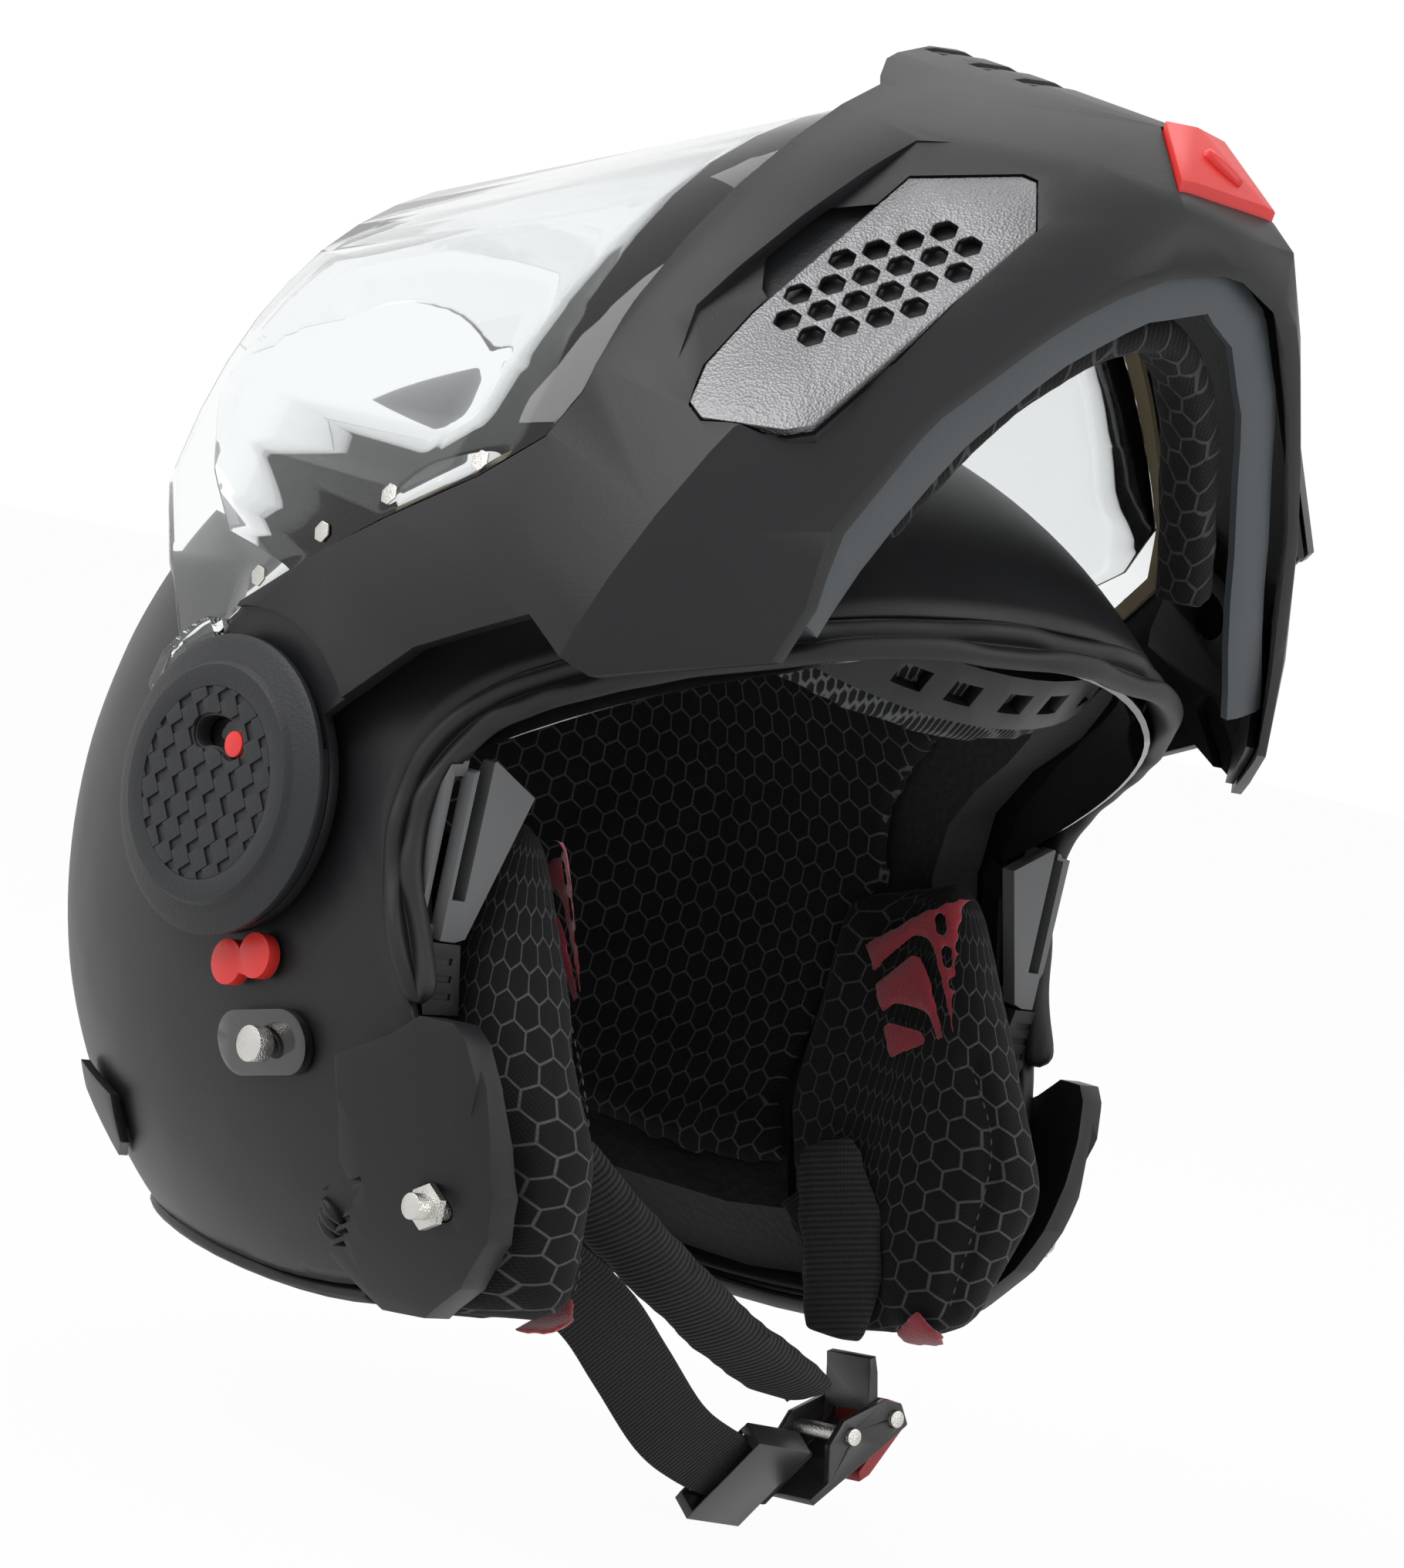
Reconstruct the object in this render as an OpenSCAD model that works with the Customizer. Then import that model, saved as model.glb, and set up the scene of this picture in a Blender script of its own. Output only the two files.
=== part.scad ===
/* [Shell] */
// Half of the shell's greatest width
shell_half_w = 118; // [114:0.5:122]
// Half of the shell's length, front to back
shell_half_l = 157; // [150:1:164]
// Half of the shell's height
shell_half_h = 135; // [130:1:140]
// Roundness of the shell: 2 is an ellipsoid, more is squarer
shell_power = 2.15; // [2:0.05:2.4]
// Thickness of the outer shell
shell_wall = 4; // [3:0.25:5]
// How far the flat land at each pivot lies inside the shell's greatest width
land_depth = 1.4; // [1:0.1:2.5]
// Clearance between pieces that lie against each other
seat_gap = 0.3; // [0.2:0.05:0.5]

/* [Eyeport seal and rim] */
// Width of the rubber seal round the eyeport
seal_w = 10.5; // [8:0.5:12]
// Thickness of the seal
seal_t = 7; // [6:0.5:8]
// How far the seal stands out of the shell
seal_proud = 1.6; // [1:0.1:2]
// Height of the trim strip along the lower rim
rim_h = 7; // [5:0.5:9]
// Thickness of the trim strip
rim_t = 6; // [5:0.5:7]

/* [Liner] */
// Thickness of the foam liner
foam_t = 24; // [20:1:28]
// Thickness of the crown pad
crown_pad_t = 6; // [4:0.5:8]

/* [Chin bar] */
// Angle from closed to the raised pose of the photograph
raise_deg = 80.7; // [70:0.1:90]
// Distance from the pivot axis to the front of the chin bar
front_reach = 213; // [207:1:219]
// Wall of the chin bar
chin_wall = 4; // [3:0.25:5]
// Roundness of the chin bar's plan
chin_power = 1.7; // [1.6:0.05:1.8]
// Slope of the lower rim, as a rise per length
rim_slope = 0.115; // [0.08:0.005:0.15]
// Slope of the crease along the sides, as a rise per length
crease_slope = 0.25; // [0.2:0.01:0.3]
// Radius of each arm's round end
arm_end_r = 34; // [32:0.5:35]

/* [Pivots] */
// Radius of the pivot axle
axle_r = 6; // [5:0.25:7]
// Running clearance of the arms and the shield on their axles
run_gap = 0.05; // [0.03:0.01:0.08]
// Thickness of the base washer under each arm
base_t = 2.6; // [2:0.1:3]
// Thickness of each arm at the pivot
arm_t = 2.7; // [2.2:0.1:3]
// Thickness of the shield's ear
ear_t = 2.1; // [1.8:0.1:2.5]
// Thickness of the pivot cover
cover_t = 5.3; // [4.5:0.1:6]
// Outer radius of the pivot cover
cover_r = 35; // [34:0.5:37]
// Radius of the raised disc of the cover
disc_r = 27.5; // [26:0.5:29]
// Radius of the textured inset
inset_r = 22.5; // [21:0.5:24]
// Side of one block of the inset's texture
block_w = 5.2; // [4.5:0.1:6.5]
// Distance of the red shield pin from the pivot axis
shield_pin_at = 12.2; // [12:0.1:13]
// Radius of the red shield pin
shield_pin_r = 3; // [2.5:0.1:3.2]

/* [Shield] */
// Thickness of the clear shield
shield_t = 2.2; // [1.8:0.1:2.6]

/* [Latches] */
// Radius of the front latch pins
latch_pin_r = 3; // [2.5:0.1:3.4]
// Distance of the latch pins from the pivot axis
latch_at = 111; // [109:0.5:112]
// Play between a latch pin and its slot
latch_play = 0.8; // [0.5:0.1:1.2]
// Radius of the side studs
stud_r = 4.2; // [3.5:0.1:5]

/* [Sun visor] */
// Radius of the sun visor about its own axis
visor_r = 125.5; // [124:0.25:126]
// Half width of the sun visor
visor_half_w = 106; // [104:0.5:106.5]
// Thickness of the sun visor
visor_t = 1.8; // [1.5:0.1:2.2]
// Height of the sun visor, as an angle about its axis
visor_sweep = 42; // [36:1:44]

/* [Chin strap] */
// Width of the webbing
web_w = 20; // [18:0.5:22]
// Thickness of the webbing
web_t = 2; // [1.6:0.1:2.4]

/* [Hidden] */

// ---- points and directions on the shell ----
shell_centre = [0, -12, -14];
opening_tilt = 30;
opening_dir = [0, -cos(opening_tilt), -sin(opening_tilt)];
up_dir = [0, -sin(opening_tilt), cos(opening_tilt)];
land_x = shell_half_w - land_depth;
// angle of the shell's edge from the middle of the opening, against the angle round it
edge_table = [
    [0, 66.5], [13, 67.5], [22, 69.5], [30, 71.5], [44, 77], [58, 83.5], [66, 84], [72, 82],
    [77, 78], [81, 73], [84.5, 67], [89, 60.5], [94.5, 54.5], [102, 49.5], [113, 48.5], [124, 52],
    [134, 65], [141, 80.5], [150, 96], [167, 108.5], [180, 110.5]
];
function fold(a) = let (q = abs(a)) q > 180 ? 360 - q : q;
function edge_raw(a) = lookup(fold(a), edge_table);
function edge_at(a) = (edge_raw(a - 4) + 2 * edge_raw(a) + edge_raw(a + 4)) / 4;
function look(a, t) = cos(t) * opening_dir + sin(t) * (cos(a) * up_dir + sin(a) * [1, 0, 0]);
function shell_reach(d, inset) = pow(
    pow(abs(d.x) / (shell_half_w - inset), shell_power)
    + pow(abs(d.y) / (shell_half_l - inset), shell_power)
    + pow(abs(d.z) / (shell_half_h - inset), shell_power), -1 / shell_power);
function clamp_x(p, w) = [max(-w, min(w, p.x)), p.y, p.z];
function shell_at(a, t, inset) =
    let (d = look(a, t))
    clamp_x(shell_centre + d * shell_reach(d, inset), land_x - inset);
// the shell's half width at a place in the side view
function shell_x(y, z, out) =
    let (left = 1 - pow(abs(y - shell_centre.y) / shell_half_l, shell_power)
        - pow(abs(z - shell_centre.z) / shell_half_h, shell_power))
    min(land_x, shell_half_w * pow(max(left, 0.01), 1 / shell_power)) + out;

// ---- general builders ----
// a cap round the head between two insets, whose edge stops short of the shell's edge
module cap(inset_out, inset_in, short, around, rows) {
    function ring(k, a, inset) = let (e = edge_at(a) + short) shell_at(a, 180 - (180 - e) * k / rows, inset);
    function face(inset) = concat(
        [shell_at(0, 180, inset)],
        [for (k = [1:rows]) for (i = [0:around - 1]) ring(k, 360 * i / around - 180, inset)]);
    count = 1 + rows * around;
    function at(k, i) = 1 + (k - 1) * around + i % around;
    function fan(s, flip) = [for (i = [0:around - 1]) flip ? [s, s + at(1, i + 1), s + at(1, i)]
        : [s, s + at(1, i), s + at(1, i + 1)]];
    function skin(s, flip) = [for (k = [1:rows - 1]) for (i = [0:around - 1]) each flip
        ? [[s + at(k, i), s + at(k, i + 1), s + at(k + 1, i)],
            [s + at(k, i + 1), s + at(k + 1, i + 1), s + at(k + 1, i)]]
        : [[s + at(k, i), s + at(k + 1, i), s + at(k, i + 1)],
            [s + at(k, i + 1), s + at(k + 1, i), s + at(k + 1, i + 1)]]];
    function rim() = [for (i = [0:around - 1]) each
        [[at(rows, i), count + at(rows, i), at(rows, i + 1)],
            [at(rows, i + 1), count + at(rows, i), count + at(rows, i + 1)]]];
    polyhedron(
        points = concat(face(inset_out), face(inset_in)),
        faces = [for (f = concat(fan(0, false), skin(0, false), fan(count, true), skin(count, true), rim()))
            [f[2], f[1], f[0]]]);
}
// a tube of sections, each a list of points, joined in order and closed at both ends
module tube(rings) {
    n = len(rings[0]);
    last = (len(rings) - 1) * n;
    polyhedron(
        points = [for (r = rings) each r],
        faces = concat(
            [for (k = [0:len(rings) - 2]) for (i = [0:n - 1]) each
                [[k * n + i, k * n + (i + 1) % n, (k + 1) * n + i],
                    [k * n + (i + 1) % n, (k + 1) * n + (i + 1) % n, (k + 1) * n + i]]],
            [for (i = [1:n - 2]) [0, i + 1, i]],
            [for (i = [1:n - 2]) [last, last + i, last + i + 1]]));
}
function unit(v) = v / norm(v);
// a flattened round section in the plane of two directions
function oval(c, u, v, w, t, n) = [for (i = [0:n - 1])
    let (a = 360 * (i + 0.5) / n) c + u * w / 2 * pow(abs(cos(a)), 0.7) * sign(cos(a))
        + v * t / 2 * pow(abs(sin(a)), 0.7) * sign(sin(a))];
// an outline in the side view (y, z), pushed out along x
module side_prism(points, x0, x1) {
    translate([x0, 0, 0]) rotate([90, 0, 90]) linear_extrude(height = x1 - x0) polygon(points);
}
// an outline in the front view (x, z), pushed back along y
module front_prism(points, y0, y1) {
    translate([0, y1, 0]) rotate([90, 0, 0]) linear_extrude(height = y1 - y0) polygon(points);
}
// the right half, or its mirror image
module on_side(s) {
    if (s > 0) mirror([1, 0, 0]) children();
    else children();
}
// a plate that follows the shell's right side, between two heights over it
module side_skin(y0, y1, z0, z1, low, high) {
    n = 9;
    function p(i, j, h) = let (y = y0 + (y1 - y0) * i / n, z = z0 + (z1 - z0) * j / n) [-shell_x(y, z, h), y, z];
    function id(i, j, s) = s * (n + 1) * (n + 1) + i * (n + 1) + j;
    function quad(a, b, c, d) = [[c, b, a], [d, c, a]];
    polyhedron(
        points = [for (h = [low, high]) for (i = [0:n]) for (j = [0:n]) p(i, j, h)],
        faces = [
            for (i = [0:n - 1]) for (j = [0:n - 1]) each concat(
                quad(id(i, j, 0), id(i + 1, j, 0), id(i + 1, j + 1, 0), id(i, j + 1, 0)),
                quad(id(i, j, 1), id(i, j + 1, 1), id(i + 1, j + 1, 1), id(i + 1, j, 1))),
            for (i = [0:n - 1]) each concat(
                quad(id(i, 0, 0), id(i, 0, 1), id(i + 1, 0, 1), id(i + 1, 0, 0)),
                quad(id(i, n, 0), id(i + 1, n, 0), id(i + 1, n, 1), id(i, n, 1)),
                quad(id(0, i, 0), id(0, i + 1, 0), id(0, i + 1, 1), id(0, i, 1)),
                quad(id(n, i, 0), id(n, i, 1), id(n, i + 1, 1), id(n, i + 1, 0)))
        ]);
}

// a profile of (radius, height towards the wearer's right) turned about the X axis;
// angle 0 points forward and a positive angle goes up
module about_x(from, sweep) {
    multmatrix([[0, 0, -1, 0], [-1, 0, 0, 0], [0, 1, 0, 0], [0, 0, 0, 1]])
        rotate([0, 0, from]) rotate_extrude(angle = sweep, $fn = 96) children();
}

// ---- the pivot stack, from the shell outwards ----
base_x = land_x + 0.1;
arm_x = base_x + base_t + seat_gap;
ear_x = arm_x + arm_t + seat_gap;
cover_x = ear_x + ear_t + seat_gap;
retainer_r = axle_r + 2;
chin_half_w = arm_x + chin_wall;
module on_axis(x0, x1, r, fn = 64) {
    translate([-x1, 0, 0]) rotate([0, 90, 0]) cylinder(r = r, h = x1 - x0, $fn = fn);
}

// ---- the chin bar, drawn closed and shown raised ----
module raised() { rotate([-raise_deg, 0, 0]) children(); }
arm_straight = 60;
arm_back = 38;
function plan(half, reach, start, power) = concat(
    [for (i = [0:26]) let (t = -90 + 180 * i / 26)
        [half * sign(t) * pow(abs(sin(t)), 2 / power), -start - (reach - start) * pow(max(cos(t), 0), 2 / power)]],
    [[half, arm_back], [-half, arm_back]]);
// flat outlines raised to a height at one place, sloping down towards the front
function at_slope(points, z, slope, at_y) = [for (p = points) [p.x, p.y, z + slope * (p.y - at_y)]];
module hull_of(points) {
    hull() polyhedron(points = points, faces = [for (i = [2:len(points) - 1]) [0, i - 1, i]]);
}
function drawn_in(points, inset) = [for (p = points) p * (1 - inset / norm(p))];
function both_sides(half) = concat(half, [for (i = [len(half) - 1:-1:0]) [-half[i].x, half[i].y]]);
// half of the crease and of the lower rim, in plan
crease_half = [[120, 30], [122, -40], [117, -69], [103.5, -99], [83, -127], [60.5, -153.5], [39, -177], [20, -195]];
rim_half = [[92, 30], [92, -60], [90, -77], [80, -100], [60, -137], [40, -164], [20, -181], [0.5, -188]];
crease_z = -103;
rim_z = -117.6;
nose_half_w = 11;
nose_z = -104;
// the outer form of the chin bar, or the same form drawn in by an inset
module chin_form(inset, below = 0) {
    half = chin_half_w - inset;
    reach = front_reach - inset;
    hull_of(concat(
        at_slope(plan(half, reach, arm_straight, chin_power), 50, 0, 0),
        at_slope(plan(half, reach + 0.5, arm_straight, chin_power), -54, 0, 0),
        at_slope(plan(half, reach, arm_straight, 1.5), nose_z + 6, 0.1, -153),
        at_slope([[nose_half_w, 1 - reach], [-nose_half_w, 1 - reach]], nose_z, 0, 0),
        at_slope(both_sides(drawn_in(crease_half, inset)), crease_z + inset * 0.8, crease_slope, -99),
        at_slope(both_sides(drawn_in(rim_half, inset)), rim_z - below, rim_slope, -77)));
}
// a band of the chin bar's form between two insets
module chin_band(outer, inner) {
    difference() {
        chin_form(outer);
        chin_form(inner, 0.5);
    }
}
window_low = [[-40, 16], [-59, -4.5], [-74, -22.6], [-90, -42], [-104, -54], [-116, -55.5],
    [-134, -51], [-160, -48], [-180, -46], [-200, -43], [-206, -31], [-216, -23.5]];
arm_low = [[-76.8, -117.6], [-61.3, -94.1], [-68.5, -75.5], [-50, -45], [-31, -27]];
chin_profile = concat([[0, 0], [-27, 20.7]], window_low, [[-240, -23.5], [-240, -131], [-188, -130],
    [-167, -123.6], [-137, -117.5], [-107, -115.5], [-90, -118]], arm_low);
latch_y = -latch_at * cos(45.3);
latch_z = -latch_at * sin(45.3);
// the grille's own plane: its middle, and its directions along the holes and across them
grille_mid = [-69.6, -159.6, -91.3];
grille_x = [0.624, -0.562, -0.543];
grille_y = [0.232, -0.53, 0.816];
module on_grille() {
    z = unit(cross(grille_x, grille_y));
    multmatrix([[grille_x.x, grille_y.x, z.x, grille_mid.x], [grille_x.y, grille_y.y, z.y, grille_mid.y],
        [grille_x.z, grille_y.z, z.z, grille_mid.z], [0, 0, 0, 1]]) children();
}
grille_outline = [[14, 29], [38, 20], [40.5, 17], [36.5, 2], [-23, -36], [-29, -35], [-45.5, -25],
    [-47, -19.5], [-41.5, -10], [-28, 1.5]];
grille_t = 2;
recess_outline = [[18.2, 39.2], [50.9, 26], [50.9, 22.6], [46.1, 7.9], [-24.7, -39.7], [-46.2, -29.2],
    [-55, -20.6], [-39.7, 6.3]];
button_top_w = 11;
button_low_w = 17.5;
button_top_z = -104;
button_low_z = -120;
function button_outline(grow) = [[-button_low_w - grow, button_low_z - grow], [button_low_w + grow, button_low_z - grow],
    [button_top_w + grow, button_top_z + grow], [-button_top_w - grow, button_top_z + grow]];
vent_z = [-31.8, -46.8, -62];
vent_half_w = 14;
vent_h = 6.6;

// ======== helmet ========
module outer_shell() {
    color("#2b2c2e") cap(0, shell_wall, 0, 52, 11);
}
// frame of the shell's edge at an angle: point, outward direction and direction into the opening
function edge_frame(a, extra = 0) =
    let (e = edge_at(a) + extra, p = shell_at(a, e, 0),
        b = unit(shell_at(a, e - 2, 0) - shell_at(a, e + 2, 0)),
        t = unit(shell_at(a + 1, edge_at(a + 1) + extra, 0) - shell_at(a - 1, edge_at(a - 1) + extra, 0)),
        n = unit(cross(b, t)))
    [p, n * (n * (p - shell_centre) > 0 ? 1 : -1), b];
seal_end = 86;
module seal_form(grow, from) {
    tube([for (i = [from:56])
        let (a = -seal_end + 2 * seal_end * i / 56, f = edge_frame(a), g = 2 * grow)
        oval(f[0] + f[2] * (seat_gap + seal_w / 2) + f[1] * (seal_proud - seal_t / 2), f[2], f[1], seal_w + g, seal_t + g, 8)]);
}
module eyeport_seal() { color("#1e1f21") seal_form(0, 0); }
rim_start = 128;
module rim_trim() {
    color("#242527") tube([for (i = [0:44])
        let (a = rim_start + 2 * (180 - rim_start) * i / 44, f = edge_frame(a))
        oval(f[0] + f[2] * (3.3 * seat_gap + rim_h / 2) + f[1] * (0.8 - rim_t / 2), f[2], f[1], rim_h, rim_t, 8)]);
}
// the sun visor's own axis and form
visor_y = -32;
visor_z = -14;
visor_power = 2.3;
visor_low = 41;
function visor_ring(x, w) = w * pow(max(1 - pow(abs(x) / visor_half_w, visor_power), 0), 1 / visor_power);
module visor_turn(points, from, sweep) {
    translate([0, visor_y, visor_z]) about_x(from, sweep) polygon(points);
}
// the space that the visor turns in
module visor_room() {
    room = 1.2;
    visor_turn(concat([for (i = [-6:6]) let (x = i * visor_half_w / 6)
        [max(visor_ring(x, visor_r) - visor_t - room, 8), x]], [[visor_r + 30, visor_half_w], [visor_r + 30, -visor_half_w]]),
        -30, 135);
    for (s = [0, 1]) mirror([s, 0, 0]) visor_turn([[0, visor_ear_x - visor_t - room], [62, visor_ear_x - visor_t - room],
        [62, visor_half_w + 2], [0, visor_half_w + 2]], -30, 135);
    translate([0, visor_y, visor_z]) for (s = [-1, 1]) on_side(s) on_axis(visor_ear_x - visor_t - room, visor_half_w + 2, 10.5);
}
module eps_liner() {
    color("#3a3a3a") difference() {
        cap(shell_wall + 1.6, shell_wall + foam_t, 3, 40, 8);
        visor_room();
        brow_room();
        for (s = [-1, 1]) on_side(s) {
            cheek_form(seat_gap);
            translate([0, visor_y, visor_z]) on_axis(60, 130, visor_pin_r + 3 + seat_gap);
            translate([-125, -110, -60]) cube([32, 64, 84]);
        }
    }
}
module crown_pad() {
    color("#151515") difference() {
        cap(shell_wall + foam_t + 2, shell_wall + foam_t + crown_pad_t, 12, 32, 6);
        brow_room();
        for (s = [-1, 1]) on_side(s) cheek_form(seat_gap);
    }
}
// the brow frame and its pad lie in one tilted plane
brow_tilt = 33.4;
brow_z = 57;
brow_y = -115;
brow_half = 92;
brow_reach = 56;
brow_depth = 78;
brow_frame_t = 3.5;
brow_frame_h = 16;
module brow_band(outer, inner, z0, z1) {
    function arc(r) = [for (i = [0:20]) let (t = -brow_reach + 2 * brow_reach * i / 20)
        [(brow_half - r) * sin(t), -(brow_depth - r) * cos(t)]];
    translate([0, brow_y, brow_z]) rotate([brow_tilt, 0, 0]) translate([0, brow_depth, z0])
        linear_extrude(height = z1 - z0)
            polygon(concat(arc(outer), [for (i = [20:-1:0]) arc(inner)[i]]));
}
// the space of the brow frame, its pad and the head behind them
module brow_room() {
    translate([0, brow_y, brow_z]) rotate([brow_tilt, 0, 0]) translate([0, brow_depth, -17 - seat_gap])
        linear_extrude(height = 25 + 2 * seat_gap) polygon(concat(
            [for (i = [0:20]) let (t = -brow_reach + 2 * brow_reach * i / 20)
                [(brow_half + seat_gap) * sin(t), -(brow_depth + seat_gap) * cos(t)]],
            [[brow_half * sin(brow_reach), 0], [-brow_half * sin(brow_reach), 0]]));
}
module brow_frame() {
    slot_at = [-47, -34, -19, -7, 7, 19, 34, 47];
    color("#2a2b2d") difference() {
        brow_band(0, brow_frame_t, -brow_frame_h / 2, brow_frame_h / 2);
        for (a = slot_at)
            translate([0, brow_y, brow_z]) rotate([brow_tilt, 0, 0]) translate([0, brow_depth, 0])
                rotate([0, 0, a]) translate([0, -85, 0]) cube([9, 30, 6], center = true);
        visor_room();
    }
}
brow_pad_t = 13;
module brow_pad() {
    in = brow_frame_t + seat_gap;
    color("#17181a") difference() {
        brow_band(in, in + brow_pad_t, -17, 7);
        visor_room();
    }
}
// ---- soft parts at the cheeks ----
module ball(p, r) { translate(p) sphere(r = r, $fn = 24); }
module cheek_form(grow) {
    hull() {
        ball([-79, -52, 0], 9 + grow);
        ball([-84, -62, -30], 10 + grow);
        ball([-80, -86, -65], 12 + grow);
        ball([-72, -84, -94], 10 + grow);
        ball([-72.5, -47, -102.5], 11 + grow);
        ball([-82, -18, -60], 9 + grow);
        ball([-80, -22, -8], 8 + grow);
    }
}
module cheek_pad_right() {
    color("#1a1a1a") difference() {
        cheek_form(0);
        webbing(right_route, seat_gap, 2);
        sleeve(right_sleeve, 26, 10, seat_gap, 2);
    }
}
module cheek_pad_left() {
    color("#1a1a1a") difference() {
        mirror([1, 0, 0]) cheek_form(0);
        webbing(left_route, seat_gap, 3);
        sleeve(left_sleeve, 26, 9, seat_gap, 3);
    }
}
module ear_patch() {
    color("#a01020") difference() {
        intersection() {
            cheek_form(seat_gap + 1.2);
            side_prism([[-34, -13], [-54, -40], [-71.5, -29.6], [-60, 5.6]], -80, -50);
        }
        cheek_form(seat_gap);
    }
}
module ear_patch_right() { on_side(-1) ear_patch(); }
module ear_patch_left() { on_side(1) ear_patch(); }
module neck_roll() {
    color("#161616") tube([for (i = [0:24])
        let (a = 146 + 68 * i / 24, f = edge_frame(a))
        oval(f[0] + f[2] * (seat_gap + rim_h + 9) - f[1] * 8, f[2], f[1], 18, 12, 8)]);
}
// ---- the hard parts beside the eyeport ----
trim_y = -62;
// the slot in the trim that the sun visor's edge swings through
visor_slot_in = 100.6;
visor_slot_out = 104.6;
module side_trim() {
    color("#6a6c6e") difference() {
        union() {
            front_prism([[-106, 17], [-100, 20.5], [-86, 13.5], [-98, -20.5], [-101, -21.5], [-105.5, -21.5]],
                trim_y, trim_y + 4);
            front_prism([[-110.8, 18.5], [-105.6, 19.5], [-105.6, 16], [-109, 15.5], [-108.6, -18], [-105.2, -18.5],
                [-105.2, -21.5], [-110.2, -21.5]], trim_y + 3, trim_y + 14);
        }
        mirror([1, 0, 0]) seal_form(seat_gap, 36);
        translate([-visor_slot_out, trim_y - 1, -12]) cube([visor_slot_out - visor_slot_in, 8, 50]);
    }
}
module side_trim_right() { on_side(-1) side_trim(); }
module side_trim_left() { on_side(1) side_trim(); }
module cheek_bracket() {
    color("#2e3032") difference() {
        front_prism([[-110, -22], [-99, -22], [-95, -38], [-106, -38.5], [-108, -33]], trim_y, trim_y + 5);
        for (i = [0:2])
            translate([-104 + i * 0.9, trim_y, -26 - i * 4]) cube([7, 1.2, 1.6], center = true);
        mirror([1, 0, 0]) seal_form(seat_gap, 36);
    }
}
module cheek_bracket_right() { on_side(-1) cheek_bracket(); }
module cheek_bracket_left() { on_side(1) cheek_bracket(); }
lock_outline = [[-51, -51.5], [-66, -43], [-73, -37], [-81.5, -36.5], [-85, -40], [-88.5, -49], [-91, -61],
    [-91.5, -73], [-88.5, -84], [-79, -97], [-66, -107.5], [-54, -109], [-43, -99], [-46, -94], [-56, -82],
    [-52, -75], [-52.5, -65]];
lock_t = 8;
module lock_plate() {
    color("#2b2d2f") difference() {
        intersection() {
            side_skin(-95, -40, -113, -33, seat_gap, lock_t);
            side_prism(lock_outline, -130, -60);
        }
        translate([-shell_x(-80, -65, lock_t), -92, -70]) rotate([0, 0, 45]) cube([7, 7, 120], center = true);
        for (i = [0:5])
            translate([-95, -45.5 - i * 1.7, -97 + i * 3.4]) rotate([-28, 0, 0]) cube([40, 9, 1.3], center = true);
        translate([0, latch_y, latch_z]) on_axis(80, 130, latch_pin_r + seat_gap);
    }
}
module lock_plate_right() { on_side(-1) lock_plate(); }
module lock_plate_left() { on_side(1) lock_plate(); }
module latch_pins() {
    face_x = shell_x(latch_y, latch_z, lock_t);
    color("#d8d6cf") for (s = [-1, 1]) on_side(s) translate([0, latch_y, latch_z]) {
        on_axis(face_x - lock_t + 0.9, latch_tip_x, latch_pin_r);
        on_axis(face_x + 2.6, face_x + 4.4, latch_pin_r + 2.4, 6);
    }
}
latch_tip_x = 112.3;
stud_y = -24;
stud_z = -55.4;
stud_tip_x = 121.5;
module stud_plates() {
    color("#141517") for (s = [-1, 1]) on_side(s) intersection() {
        side_skin(-44, -2, -70, -40, seat_gap, 2.6);
        translate([-130, stud_y + 2.5, stud_z]) rotate([-14, 0, 0]) hull() {
            translate([0, -8, 0]) rotate([0, 90, 0]) cylinder(r = 7.5, h = 30, $fn = 32);
            translate([0, 8, 0]) rotate([0, 90, 0]) cylinder(r = 7.5, h = 30, $fn = 32);
        }
    }
}
module side_studs() {
    face_x = shell_x(stud_y, stud_z, 2.6);
    color("#d8d6cf") for (s = [-1, 1]) on_side(s) translate([0, stud_y, stud_z]) {
        on_axis(face_x + 0.7, face_x + 1.4, stud_r - 0.9);
        on_axis(face_x + 1.4, stud_tip_x, stud_r);
    }
}
module pivot_bases() {
    color("#222222") for (s = [-1, 1]) on_side(s) {
        on_axis(base_x, base_x + base_t, 24);
        on_axis(base_x + base_t, arm_x + arm_t + seat_gap, axle_r);
    }
}
module pivot_retainers() {
    color("#b8b8b8") for (s = [-1, 1]) on_side(s)
        on_axis(arm_x + arm_t + seat_gap, ear_x + ear_t, retainer_r);
}
module rear_vent() {
    color("#1c1c1c") for (s = [-1, 1]) on_side(s) intersection() {
        side_skin(40, 78, -104, -78, seat_gap, 3.2);
        side_prism([[48, -84], [70, -80], [74, -88], [58, -101], [50, -96]], -130, -40);
    }
}

// ======== chin bar ========
module chin_bar() {
    clear = seat_gap + 0.2;
    color("#2f3032") raised() difference() {
        intersection() {
            chin_band(0, chin_wall);
            union() {
                side_prism(chin_profile, -150, 150);
                on_axis(-150, 150, arm_end_r);
            }
        }
        for (s = [-1, 1]) on_side(s) {
            on_axis(arm_x + arm_t, 160, cover_r + 7);
            on_axis(80, 160, axle_r + run_gap);
            on_grille() translate([0, 0, 0.2]) linear_extrude(height = 30) polygon(recess_outline);
            on_grille() translate([0, 0, -grille_t - 0.3]) linear_extrude(height = 30) grille_face(1 + seat_gap / 25);
            on_grille() linear_extrude(height = 60, center = true) grille_face(0.9);
        }
        front_prism(button_outline(clear), -240, -150);
        for (z = vent_z)
            translate([0, -200, z]) cube([2 * vent_half_w, 60, vent_h], center = true);
    }
}
plate_outline = [[-62, -93], [-77.5, -113], [-104, -97], [-118, -60], [-104, -58.5], [-91, -54.5], [-74, -54.5], [-70, -73]];
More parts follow.
